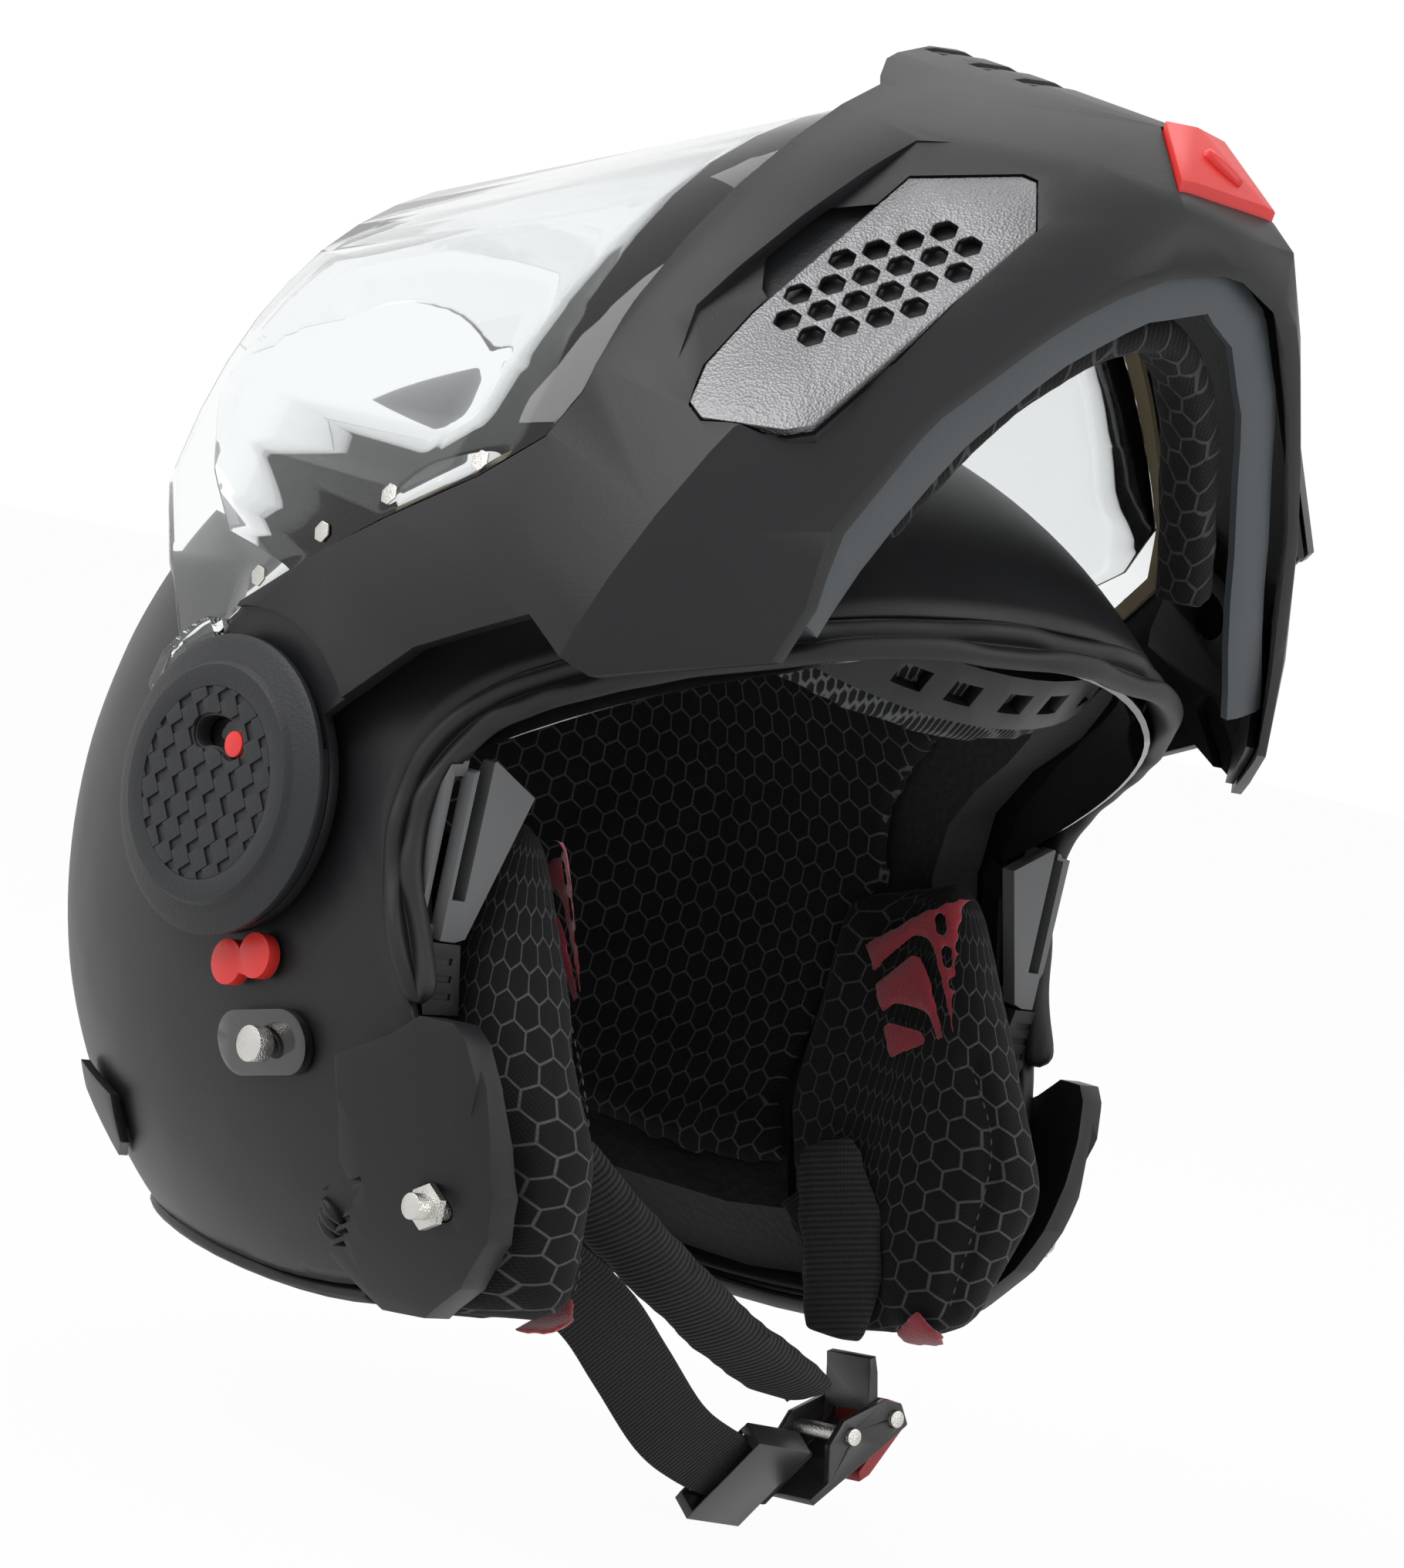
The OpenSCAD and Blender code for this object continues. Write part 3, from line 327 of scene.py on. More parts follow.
def clear_plate(name, tint, roughness, ior=1.49):
    """Clear or smoked sheet with faint dust in its gloss."""
    paint = Paint(name)
    dust = paint.noise(90, 4)
    paint.shade({"Base Color": colour(*tint), "IOR": ior, "Transmission Weight": 1.0})
    paint.shade({"Roughness": dust * 0.03 + roughness})
    return paint.material


def floor_paint(name, shade):
    """White floor: the camera, metal and glass see it near white, with the object's shadow."""
    paint = Paint(name)
    paint.shade({"Base Color": colour(shade, shade, shade), "Roughness": 0.9})
    glow = paint.node("ShaderNodeEmission", {}, {"Color": colour(1, 1, 1), "Strength": 1.0})
    path = paint.node("ShaderNodeLightPath", {}, {})
    seen = Wire(paint, path.outputs["Is Camera Ray"]).most(Wire(paint, path.outputs["Is Glossy Ray"]))
    seen = seen.most(Wire(paint, path.outputs["Is Transmission Ray"]))
    mix = paint.node("ShaderNodeMixShader", {}, {0: seen * 0.96})
    paint.tree.links.new(paint.shader.outputs[0], mix.inputs[1])
    paint.tree.links.new(glow.outputs[0], mix.inputs[2])
    paint.tree.links.new(mix.outputs[0], paint.tree.nodes["Material Output"].inputs[0])
    return paint.material


# ---- meshes ----


def cad_mesh(*names):
    """The triangles of CAD nodes, merged, as a bmesh."""
    bm = bmesh.new()
    for name in names:
        bm.from_mesh(NODES[name].data)
    bmesh.ops.remove_doubles(bm, verts=bm.verts, dist=0.02 * MM)
    return bm


def to_object(name, bm, paint, smooth=True):
    mesh = bpy.data.meshes.new(name)
    for face in bm.faces:
        face.smooth = smooth
    bm.to_mesh(mesh)
    bm.free()
    mesh.materials.append(paint)
    piece = bpy.data.objects.new(name, mesh)
    bpy.context.scene.collection.objects.link(piece)
    return piece


def settle(piece):
    """The piece with its modifiers applied."""
    bpy.context.view_layer.update()
    seen = piece.evaluated_get(bpy.context.evaluated_depsgraph_get())
    mesh = bpy.data.meshes.new_from_object(seen)
    piece.modifiers.clear()
    piece.data = mesh
    return piece


def mount(piece, body, slot, *nodes):
    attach(piece, body)
    if nodes:
        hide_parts(*nodes)
    return piece


def rounding(name, angle):
    """A node group that shades a CAD mesh smooth except at edges sharper than angle."""
    group = bpy.data.node_groups.new(name, "GeometryNodeTree")
    group.interface.new_socket("Geometry", in_out="INPUT", socket_type="NodeSocketGeometry")
    group.interface.new_socket("Geometry", in_out="OUTPUT", socket_type="NodeSocketGeometry")
    nodes, links = group.nodes, group.links
    start, end = nodes.new("NodeGroupInput"), nodes.new("NodeGroupOutput")
    faces = nodes.new("GeometryNodeSetShadeSmooth")
    edges = nodes.new("GeometryNodeSetShadeSmooth")
    edges.domain = "EDGE"
    edges.inputs["Shade Smooth"].default_value = False
    bend = nodes.new("GeometryNodeInputMeshEdgeAngle")
    sharp = nodes.new("FunctionNodeCompare")
    sharp.operation = "GREATER_THAN"
    sharp.inputs[1].default_value = math.radians(angle)
    links.new(bend.outputs[0], sharp.inputs[0])
    links.new(start.outputs[0], faces.inputs[0])
    links.new(faces.outputs[0], edges.inputs[0])
    links.new(sharp.outputs[0], edges.inputs["Selection"])
    links.new(edges.outputs[0], end.inputs[0])
    return group


def dress_hard(names, paint, width, angle, shading):
    """Gives CAD nodes their material, small rounded edges and smooth shading between them."""
    for name in names:
        part = NODES[name]
        part.data.materials.clear()
        part.data.materials.append(paint)
        part.modifiers.new("Weld", "WELD").merge_threshold = 0.02 * MM
        if width:
            edge = part.modifiers.new("Edges", "BEVEL")
            edge.width = width
            edge.segments = 2
            edge.limit_method = "ANGLE"
            edge.angle_limit = math.radians(angle)
            edge.use_clamp_overlap = True
        part.modifiers.new("Shading", "NODES").node_group = shading


def wrap_map(piece, centre, axis, start, radius):
    """A map in metres round an axis: length round it at that radius, and length along it."""
    axis = axis.normalized()
    start = (start - axis * start.dot(axis)).normalized()
    side = axis.cross(start)
    mesh = piece.data
    chart = mesh.uv_layers.get("wrap") or mesh.uv_layers.new(name="wrap")

    def turn(point):
        arm = point - centre
        return math.atan2(arm.dot(side), arm.dot(start))

    for face in mesh.polygons:
        middle = turn(face.center)
        for corner in face.loop_indices:
            point = mesh.vertices[mesh.loops[corner].vertex_index].co
            angle = turn(point)
            angle += 2 * math.pi * round((middle - angle) / (2 * math.pi))
            chart.data[corner].uv = (angle * radius, (point - centre).dot(axis))


def flat_map(piece, origin, along, across):
    """A flat map in metres along two directions."""
    along = along.normalized()
    across = (across - along * across.dot(along)).normalized()
    mesh = piece.data
    chart = mesh.uv_layers.get("wrap") or mesh.uv_layers.new(name="wrap")
    for corner, loop in enumerate(mesh.loops):
        arm = mesh.vertices[loop.vertex_index].co - origin
        chart.data[corner].uv = (arm.dot(along), arm.dot(across))


# ---- the camera's sight ----


def camera_axes():
    a, e, r = math.radians(AZIMUTH), math.radians(ELEVATION), math.radians(ROLL)
    back = Vector((math.sin(a) * math.cos(e), -math.cos(a) * math.cos(e), math.sin(e)))
    right = Vector((math.cos(a), math.sin(a), 0))
    up = back.cross(right)
    return right * math.cos(r) + up * math.sin(r), up * math.cos(r) - right * math.sin(r), back


def sight(x, y):
    """The camera's place and the direction in which an image point lies."""
    right, up, back = camera_axes()
    size = max(IMAGE_W, IMAGE_H)
    way = right * (x - IMAGE_W / 2) + up * (IMAGE_H / 2 - y) - back * (size * LENS / SENSOR)
    return AIM + back * DISTANCE, way.normalized()


def on_piece(tree, x, y):
    """Where an image point's ray meets a piece, or the place nearest the ray."""
    eye, way = sight(x, y)
    hit = tree.ray_cast(eye, way)
    if hit[0] is not None:
        return hit[0], hit[1]
    steps = [eye + way * (DISTANCE + k * MM) for k in range(-200, 200, 4)]
    best = min((tree.find_nearest(step) for step in steps), key=lambda found: found[3])
    return best[0], best[1]


def image_point(place):
    right, up, back = camera_axes()
    arm = place - (AIM + back * DISTANCE)
    size = max(IMAGE_W, IMAGE_H)
    scale = size * LENS / SENSOR / -arm.dot(back)
    return IMAGE_W / 2 + arm.dot(right) * scale, IMAGE_H / 2 - arm.dot(up) * scale


def tree_of(piece):
    bm = bmesh.new()
    bm.from_object(piece, bpy.context.evaluated_depsgraph_get())
    tree = BVHTree.FromBMesh(bm)
    bm.free()
    return tree


# ---- soft pieces ----


def stuffed(name, node, paint, voxel, shrink, cap, pressure):
    """A pad in the place of its CAD solid: remeshed, drawn in, swollen as cloth, and capped."""
    piece = to_object(name, cad_mesh(node), paint)
    remesh = piece.modifiers.new("Remesh", "REMESH")
    remesh.mode = "VOXEL"
    remesh.voxel_size = voxel
    settle(piece)
    bm = bmesh.new()
    bm.from_mesh(piece.data)
    for _ in range(3):
        bmesh.ops.smooth_vert(bm, verts=bm.verts, factor=0.5,
                              use_axis_x=True, use_axis_y=True, use_axis_z=True)
    bm.normal_update()
    for vert in bm.verts:
        vert.co -= vert.normal * shrink
    bm.to_mesh(piece.data)
    bm.free()
    piece["cap"] = cap
    cloth = piece.modifiers.new("Cloth", "CLOTH")
    cloth.settings.use_pressure = True
    cloth.settings.uniform_pressure_force = pressure
    cloth.settings.effector_weights.gravity = 0
    cloth.settings.quality = 4
    return piece


def inflate(pads):
    """Runs the pads' cloth together, caps how far each point moves and smooths the result."""
    starts = {pad.name: [v.co.copy() for v in pad.data.vertices] for pad in pads}
    for step in range(1, 21):
        bpy.context.scene.frame_set(step)
    for pad in pads:
        settle(pad)
        for vert, start in zip(pad.data.vertices, starts[pad.name]):
            move = vert.co - start
            if move.length > pad["cap"]:
                vert.co = start + move.normalized() * pad["cap"]
        for face in pad.data.polygons:
            face.use_smooth = True
        if len(pad.data.polygons) < 22000:
            surface = pad.modifiers.new("Surface", "SUBSURF")
            surface.levels = surface.render_levels = 1
            settle(pad)
    bpy.context.scene.frame_set(1)


def pressed_seam(piece, path, width, depth):
    """Draws a piece's surface in along a sewn line."""
    mesh = piece.data
    normals = [v.normal.copy() for v in mesh.vertices]
    for vert, normal in zip(mesh.vertices, normals):
        gap = min(((vert.co - point).length for point in path))
        if gap < width:
            vert.co -= normal * depth * (0.5 + 0.5 * math.cos(math.pi * gap / width))


def smooth_path(points, steps):
    """Points along a smooth curve through the given ones."""
    ends = [points[0] * 2 - points[1]] + list(points) + [points[-1] * 2 - points[-2]]
    path = []
    for a, b, c, d in zip(ends, ends[1:], ends[2:], ends[3:]):
        for k in range(steps):
            t = k / steps
            path.append(0.5 * (2 * b + (c - a) * t + (2 * a - 5 * b + 4 * c - d) * t ** 2
                               + (3 * b - a - 3 * c + d) * t ** 3))
    return path + [points[-1]]


def directions(path):
    """The way a path runs at each of its points."""
    return [(b - a).normalized() for a, b in zip([path[0]] + path[:-1], path[1:] + [path[-1]])]


def swept(bm, centres, sides, ups, profile):
    """Joins a profile's copies along a path into one closed form."""
    rings = []
    for centre, side, up in zip(centres, sides, ups):
        ring = bmesh.ops.create_circle(bm, segments=len(profile), radius=MM)["verts"]
        for vert, (a, b) in zip(ring, profile):
            vert.co = centre + side * a + up * b
        rings.append([bm.edges.get((u, v)) for u, v in zip(ring, ring[1:] + ring[:1])])
    for near, far in zip(rings, rings[1:]):
        bmesh.ops.bridge_loops(bm, edges=near + far)
    bmesh.ops.contextual_create(bm, geom=rings[0])
    bmesh.ops.contextual_create(bm, geom=rings[-1])
    bmesh.ops.recalc_face_normals(bm, faces=bm.faces)


def stitch_row(bm, path, normals, pitch, length, radius):
    """Short thread stitches lying along a path."""
    travelled, due = 0.0, pitch / 2
    for a, b, normal in zip(path, path[1:], normals):
        span = (b - a).length
        while travelled + span > due:
            middle = a + (b - a) * ((due - travelled) / span)
            way = (b - a).normalized()
            side = normal.cross(way).normalized()
            turn = Matrix((way, side, normal.normalized())).transposed().to_4x4()
            made = bmesh.ops.create_icosphere(bm, subdivisions=1, radius=1.0)["verts"]
            size = Matrix.Diagonal((length / 2, radius, radius, 1))
            bmesh.ops.transform(bm, matrix=Matrix.Translation(middle) @ turn @ size, verts=made)
            due += pitch
        travelled += span


# ---- the pieces ----

FINISHES = {}
SHELL_CENTRE = Vector((0, -12, -14)) * MM

HARD = {
    "shell_black": ("chin_bar arm_plate_right arm_plate_left lock_plate_right lock_plate_left "
                    "cheek_bracket_right cheek_bracket_left rear_vent front_vent "
                    "pivot_bases brow_frame rim_trim"),
    "trim_grey": "side_trim_right side_trim_left",
    "band_grey": "chin_trim",
    "cover_black": "pivot_cover_right pivot_cover_left tread_inset_right tread_inset_left",
    "plate_gloss": "stud_plates",
    "grille_chrome": "side_grille_right side_grille_left",
    "nickel": "latch_pins side_studs pivot_retainers visor_pins buckle_pins lens_clips",
    "red_plastic": "release_button shield_pins visor_lever",
    "lever_red": "buckle_lever",
    "clear": "shield inner_lens",
    "edge_seal": "shield_seal",
    "smoke_lens": "sun_visor",
    "buckle_black": "strap_slider buckle_body",
    "liner_foam": "eps_liner",
}
EDGES = {"shell_black": 0.7, "trim_grey": 0.5, "cover_black": 0.4, "plate_gloss": 0.5, "grille_chrome": 0.4,
         "nickel": 0.25, "red_plastic": 0.5, "lever_red": 0.5, "buckle_black": 0.4,
         "clear": 0.3, "smoke_lens": 0.3}


class HelmetColours(bpy.types.PropertyGroup):
    shell: FloatVectorProperty(
        name="Shell", description="Matte black of the shell and chin bar",
        default=(0.0125, 0.013, 0.0145), subtype="COLOR")
    trim: FloatVectorProperty(
        name="Side trim", description="Grey of the trim beside the eyeport",
        default=(0.125, 0.128, 0.132), subtype="COLOR")
    band: FloatVectorProperty(
        name="Chin band", description="Grey of the band inside the chin bar's rim",
        default=(0.07, 0.08, 0.088), subtype="COLOR")
    red: FloatVectorProperty(
        name="Red", description="Red of the button, the pins and the lever",
        default=(0.78, 0.035, 0.03), subtype="COLOR")
    velvet: FloatVectorProperty(
        name="Ear patch", description="Crimson of the ear patches and tabs",
        default=(0.36, 0.012, 0.03), subtype="COLOR")


class HelmetSizes(bpy.types.PropertyGroup):
    cell: FloatProperty(
        name="Honeycomb", description="Width of one cell of the lining's honeycomb",
        default=7.2 * MM, unit="LENGTH")
    voxel: FloatProperty(
        name="Pad voxel", description="Voxel size of the pads' remesh", default=4 * MM, unit="LENGTH")
    pressure: FloatProperty(name="Pad pressure", description="Pressure inside the pads' cloth", default=4.0)
    key_light: FloatProperty(name="Key light", description="Power of the main softbox",
                             default=14.0, unit="POWER")
    room_light: FloatProperty(name="Room light", description="Strength of the light from all round",
                              default=0.42)


class HELMET_OT_finishes(bpy.types.Operator):
    """Makes the materials"""
    bl_idname = "helmet.finishes"
    bl_label = "Finishes"

    def execute(self, context):
        shades, sizes = context.scene.helmet_colours, context.scene.helmet_sizes
        shell = tuple(shades.shell)
        FINISHES.update({
            "shell_black": moulded("Matte black", shell, 0.44, 0.00004, 1800, gloss=0.32),
            "trim_grey": moulded("Trim grey", tuple(shades.trim), 0.5),
            "band_grey": moulded("Band grey", tuple(shades.band), 0.55, 0.0001, 900),
            "cover_black": moulded("Cover black", (0.02, 0.021, 0.023), 0.5, 0.00012, 1100, gloss=0.35),
            "plate_gloss": moulded("Gloss black", (0.008, 0.008, 0.009), 0.12, 0.00001, coat=0.8),
            "grille_chrome": grained_metal("Grained dark chrome", (0.19, 0.19, 0.195), 0.3, grain=1500),
            "nickel": grained_metal("Nickel", (0.75, 0.73, 0.69), 0.2, grain=2600),
            "red_plastic": moulded("Red plastic", tuple(shades.red), 0.38, 0.00003),
            "lever_red": moulded("Dark red", (0.36, 0.03, 0.03), 0.42, 0.00003),
            "clear": clear_plate("Clear sheet", (0.96, 0.975, 0.98), 0.0),
            "edge_seal": moulded("Edge seal", (0.42, 0.34, 0.22), 0.4),
            "smoke_lens": moulded("Smoked lens", (0.012, 0.012, 0.014), 0.1, 0.00001, coat=1.0),
            "seal_rubber": moulded("Seal rubber", (0.013, 0.013, 0.0145), 0.55, 0.00005, 900, gloss=0.4),
            "buckle_black": moulded("Buckle black", (0.03, 0.03, 0.032), 0.35, 0.00004),
            "liner_foam": foam("Bead foam", (0.02, 0.02, 0.021)),
            "lining": knit("Honeycomb lining", (0.009, 0.009, 0.01), (0.1, 0.102, 0.106), sizes.cell, 0.055),
            "small_lining": knit("Small honeycomb", (0.012, 0.012, 0.013), (0.07, 0.07, 0.074), 6 * MM, 0.07),
            "brow_mesh": mesh_cloth("Mesh cloth", (0.01, 0.01, 0.01), (0.12, 0.125, 0.13), 2.6 * MM),
            "corduroy": ribbed("Corduroy", (0.028, 0.028, 0.03), 1.5 * MM),
            "webbing": ribbed("Webbing", (0.022, 0.022, 0.023), 1.1 * MM),
            "velvet": velvet("Crimson pile", tuple(shades.velvet)),
            "thread": moulded("Thread", (0.06, 0.06, 0.062), 0.8),
            "floor": floor_paint("Floor", 0.8),
        })
        return {"FINISHED"}


class HELMET_OT_shell(bpy.types.Operator):
    """The outer shell, smoothed over the CAD node's facets"""
    bl_idname = "helmet.shell"
    bl_label = "Shell"

    def execute(self, context):
        bm = cad_mesh("outer_shell")
        crease = bm.edges.layers.float.new("crease_edge")
        bmesh.ops.join_triangles(bm, faces=bm.faces, angle_face_threshold=0.5, angle_shape_threshold=0.9)
        sharp = [e for e in bm.edges if len(e.link_faces) == 2 and e.calc_face_angle() > math.radians(55)]
        for edge in sharp:
            edge[crease] = 0.6
        shell = to_object("shell", bm, FINISHES["shell_black"])
        surface = shell.modifiers.new("Surface", "SUBSURF")
        surface.levels = surface.render_levels = 2
        settle(shell)
        mount(shell, "helmet", "shell_black", "outer_shell")
        return {"FINISHED"}


class HELMET_OT_hard_parts(bpy.types.Operator):
    """The CAD model's rigid nodes: rounded edges, smooth shading and their finishes"""
    bl_idname = "helmet.hard_parts"
    bl_label = "Rigid parts"

    def execute(self, context):
        shading = rounding("Smooth by angle", 32)
        for finish, names in HARD.items():
            dress_hard(names.split(), FINISHES[finish], EDGES.get(finish, 0) * MM, 40, shading)
        return {"FINISHED"}


OPENING_TILT = math.radians(30)
SEAL_RINGS, SEAL_END = 57, math.radians(86)


def seal_ring(point):
    """The number of the seal's CAD ring that a point belongs to."""
    arm = point - SHELL_CENTRE
    up = Vector((0, -math.sin(OPENING_TILT), math.cos(OPENING_TILT)))
    turn = math.atan2(arm.x, arm.dot(up))
    return round((turn + SEAL_END) / (2 * SEAL_END) * (SEAL_RINGS - 1))


class HELMET_OT_eyeport_seal(bpy.types.Operator):
    """The rubber seal round the eyeport: two soft lips with a groove between them"""
    bl_idname = "helmet.eyeport_seal"
    bl_label = "Eyeport seal"

    def execute(self, context):
        cad = cad_mesh("eyeport_seal")
        rings = [[] for _ in range(SEAL_RINGS)]
        for vert in cad.verts:
            rings[seal_ring(vert.co)].append(vert.co.copy())
        cad.free()
        if min(len(ring) for ring in rings) < 3:
            raise RuntimeError("the seal's rings weren't found in its CAD node")
        middles = [sum(ring, Vector()) / len(ring) for ring in rings]
        ways = directions(middles)
        inwards, outwards = [], []
        for ring, middle, way in zip(rings, middles, ways):
            broad = max(ring, key=lambda point: (point - middle).length) - middle
            broad = (broad - way * broad.dot(way)).normalized()
            thick = way.cross(broad).normalized()
            if thick.dot(middle - SHELL_CENTRE) < 0:
                thick = -thick
            if broad.dot(SHELL_CENTRE + Vector((0, -0.15, -0.05)) - middle) < 0:
                broad = -broad
            inwards.append(broad)
            outwards.append(thick)
        lips = [(-5.2, -2.6), (-5.3, 0.6), (-4.6, 2.6), (-3.0, 3.4), (-1.4, 2.7), (-0.5, 0.6),
                (0.1, -0.2), (0.7, 0.5), (1.5, 2.2), (2.9, 2.8), (4.4, 2.0), (5.2, 0.2),
                (5.2, -2.4), (3.0, -3.3), (-3.0, -3.3)]
        bm = bmesh.new()
        swept(bm, middles, inwards, outwards, [(a * MM, b * MM) for a, b in lips])
        seal = to_object("seal_lips", bm, FINISHES["seal_rubber"])
        surface = seal.modifiers.new("Surface", "SUBSURF")
        surface.levels = surface.render_levels = 2
        settle(seal)
        mount(seal, "helmet", "seal_rubber", "eyeport_seal")
        return {"FINISHED"}


class HELMET_OT_pads(bpy.types.Operator):
    """The lining: cheek pads, crown, brow, neck roll, chin pad, ear patches and tabs"""
    bl_idname = "helmet.pads"
    bl_label = "Lining"

    def execute(self, context):
        sizes = context.scene.helmet_sizes
        table = [
            # piece, CAD node, finish, voxel, drawn in, cap, slot, fill
            ("cheek_cushion_right", "cheek_pad_right", "lining", 4, 1.2, 3.0, "black_fabric", 0.7),
            ("cheek_cushion_left", "cheek_pad_left", "lining", 4, 1.2, 3.0, "black_fabric", 0.7),
            ("crown_cushion", "crown_pad", "lining", 2.6, 0.0, 1.0, "black_fabric", 0.5),
            ("brow_cushion", "brow_pad", "brow_mesh", 2, 0.2, 1.5, "black_fabric", 0.5),
            ("neck_cushion", "neck_roll", "corduroy", 3.5, 1.0, 2.5, "black_fabric", 0.8),
            ("chin_cushion", "chin_pad", "small_lining", 3.5, 1.0, 3.0, "black_fabric", 0.7),
            ("ear_cover_right", "ear_patch_right", "velvet", 1.5, 0.2, 0.6, "red_fabric", 0.4),
            ("ear_cover_left", "ear_patch_left", "velvet", 1.5, 0.2, 0.6, "red_fabric", 0.4),
            ("pull_loops", "pull_tabs", "velvet", 1.2, 0.1, 0.4, "red_fabric", 0.3),
            ("strap_sleeve_right", "strap_pad_right", "corduroy", 3, 0.8, 2.0, "black_fabric", 0.6),
            ("strap_sleeve_left", "strap_pad_left", "corduroy", 3, 0.8, 2.0, "black_fabric", 0.6),
        ]
        pads = []
        for name, node, finish, voxel, shrink, cap, slot, fill in table:
            pad = stuffed(name, node, FINISHES[finish], voxel * MM, shrink * MM, cap * MM, sizes.pressure)
            pads.append(pad)
        inflate(pads)
        up, forward, left = Vector((0, 0, 1)), Vector((0, -1, 0)), Vector((1, 0, 0))
        for (name, node, finish, voxel, shrink, cap, slot, fill), pad in zip(table, pads):
            low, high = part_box(node)
            middle = (low + high) / 2
            if name.startswith("ear_cover"):
                for vert in pad.data.vertices:
                    vert.co.x -= math.copysign(2.4 * MM, vert.co.x)
            if name.startswith("cheek"):
                wrap_map(pad, middle, up, left if "left" in name else -left, 34 * MM)
            elif name.startswith("crown"):
                wrap_map(pad, middle, up, -forward, 90 * MM)
            elif name.startswith("neck"):
                wrap_map(pad, Vector((0, 0, middle.z)), up, forward, 100 * MM)
            elif name.startswith("brow"):
                wrap_map(pad, Vector((0, -20 * MM, middle.z)), Vector((0, 0.55, 0.83)), -forward, 80 * MM)
            elif name.startswith("chin"):
                wrap_map(pad, Vector((0, middle.y, 0.0)), forward, up, 110 * MM)
            elif name.startswith("strap_sleeve_right"):
                flat_map(pad, middle, Vector((0.83, -0.18, -0.52)), Vector((0.35, -0.87, 0.35)))
            else:
                flat_map(pad, middle, Vector((0, -0.3, -0.95)), Vector((0.35, -0.87, 0.35)))
            mount(pad, "chin_bar" if name.startswith("chin") else "helmet", slot, node)
        return {"FINISHED"}


RIGHT_ROUTE = [(-70, -30, -78), (-57, -38, -87), (-44, -48, -95), (-27, -58, -106),
               (-12, -60, -119), (6, -60, -134), (20, -60, -141), (34, -60, -145), (53.5, -60, -147.2)]
LEFT_ROUTE = [(66, -36, -76), (67, -46, -84), (70, -54, -92), (75, -58, -97)]
WEB_ACROSS = Vector((0.3, -0.52, 0.78)).normalized()
WEB_W, WEB_T = 20, 2


class HELMET_OT_chin_strap(bpy.types.Operator):
    """The chin strap's woven webbing"""
    bl_idname = "helmet.chin_strap"
    bl_label = "Chin strap"

    def execute(self, context):
        half, thin = WEB_W / 2 * MM, WEB_T / 2 * MM
        profile = [(half, -thin * 0.5), (half, thin * 0.5), (half * 0.93, thin), (0, thin),
                   (-half * 0.93, thin), (-half, thin * 0.5), (-half, -thin * 0.5),
                   (-half * 0.93, -thin), (0, -thin), (half * 0.93, -thin)]
        for name, node, route in (("web_right", "strap_right", RIGHT_ROUTE),
                                  ("web_left", "strap_left", LEFT_ROUTE)):
            path = smooth_path([Vector(p) * MM for p in route], 6)
            ways = directions(path)
            sides = [(WEB_ACROSS - way * way.dot(WEB_ACROSS)).normalized() for way in ways]
            ups = [side.cross(way) for side, way in zip(sides, ways)]
            bm = bmesh.new()
            swept(bm, path, sides, ups, profile)
            web = to_object(name, bm, FINISHES["webbing"])
            middle = path[len(path) // 2]
            flat_map(web, middle, path[-1] - path[0], WEB_ACROSS)
            mount(web, "helmet", "webbing", node)
        return {"FINISHED"}


GRILLE_BACKING = 3.2 * MM
RECESS_REACH = (-14 * MM, 9 * MM)


def mirrored(bm):
    """Adds the other side's copy to a bmesh."""
    made = bmesh.ops.duplicate(bm, geom=bm.verts[:] + bm.edges[:] + bm.faces[:])["geom"]
    verts = [item for item in made if isinstance(item, bmesh.types.BMVert)]
    bmesh.ops.scale(bm, verts=verts, vec=(-1, 1, 1))
    bmesh.ops.recalc_face_normals(bm, faces=bm.faces)


def ridge(bm, path, normals, width, height, taper=0.5):
    """A rounded rib lying on a surface along a path, narrower at its ends."""
    ways = directions(path)
    sides = [normal.cross(way).normalized() for normal, way in zip(normals, ways)]
    last = len(path) - 1
    ring = [(math.cos(2 * math.pi * k / 10), math.sin(2 * math.pi * k / 10)) for k in range(10)]
    for k in range(last + 1):
        size = taper + (1 - taper) * math.sin(math.pi * k / last)
        sides[k] = sides[k] * size
        normals[k] = normals[k] * size
    swept(bm, path, sides, normals, [(a * width / 2, b * height) for a, b in ring])


def surface_line(tree, centre, way, half, steps=8):
    """A straight run laid onto a piece through a place, and the piece's normals along it."""
    found = [tree.find_nearest(centre + way * (half * (2 * k / steps - 1))) for k in range(steps + 1)]
    return [place for place, *_ in found], [normal for _, normal, *_ in found]


def surface_path(tree, points, steps):
    """A path on a piece through image points, and the piece's normals along it."""
    spots = smooth_path([Vector((x, y, 0)) for x, y in points], steps)
    found = [on_piece(tree, spot.x, spot.y) for spot in spots]
    return [place for place, _ in found], [normal for _, normal in found]


class HELMET_OT_grille_backs(bpy.types.Operator):
    """Black plates that close the chin bar behind its two grilles"""
    bl_idname = "helmet.grille_backs"
    bl_label = "Grille backs"

    def execute(self, context):
        grille = NODES["side_grille_right"].data
        broad = max(grille.polygons, key=lambda face: face.area).normal.copy()
        if broad.x > 0:
            broad = -broad
        right, up, _ = camera_axes()
        reach = right * RECESS_REACH[0] + up * RECESS_REACH[1]
        reach -= broad * reach.dot(broad)
        bm = bmesh.new()
        for vert in grille.vertices:
            for shift in (Vector(), reach):
                bm.verts.new(vert.co + shift - broad * GRILLE_BACKING)
        bmesh.ops.convex_hull(bm, input=bm.verts)
        bmesh.ops.delete(bm, geom=[v for v in bm.verts if not v.link_faces], context="VERTS")
        mirrored(bm)
        backs = to_object("grille_backs", bm, FINISHES["cover_black"], smooth=False)
        mount(backs, "chin_bar", "cover_black")
        return {"FINISHED"}


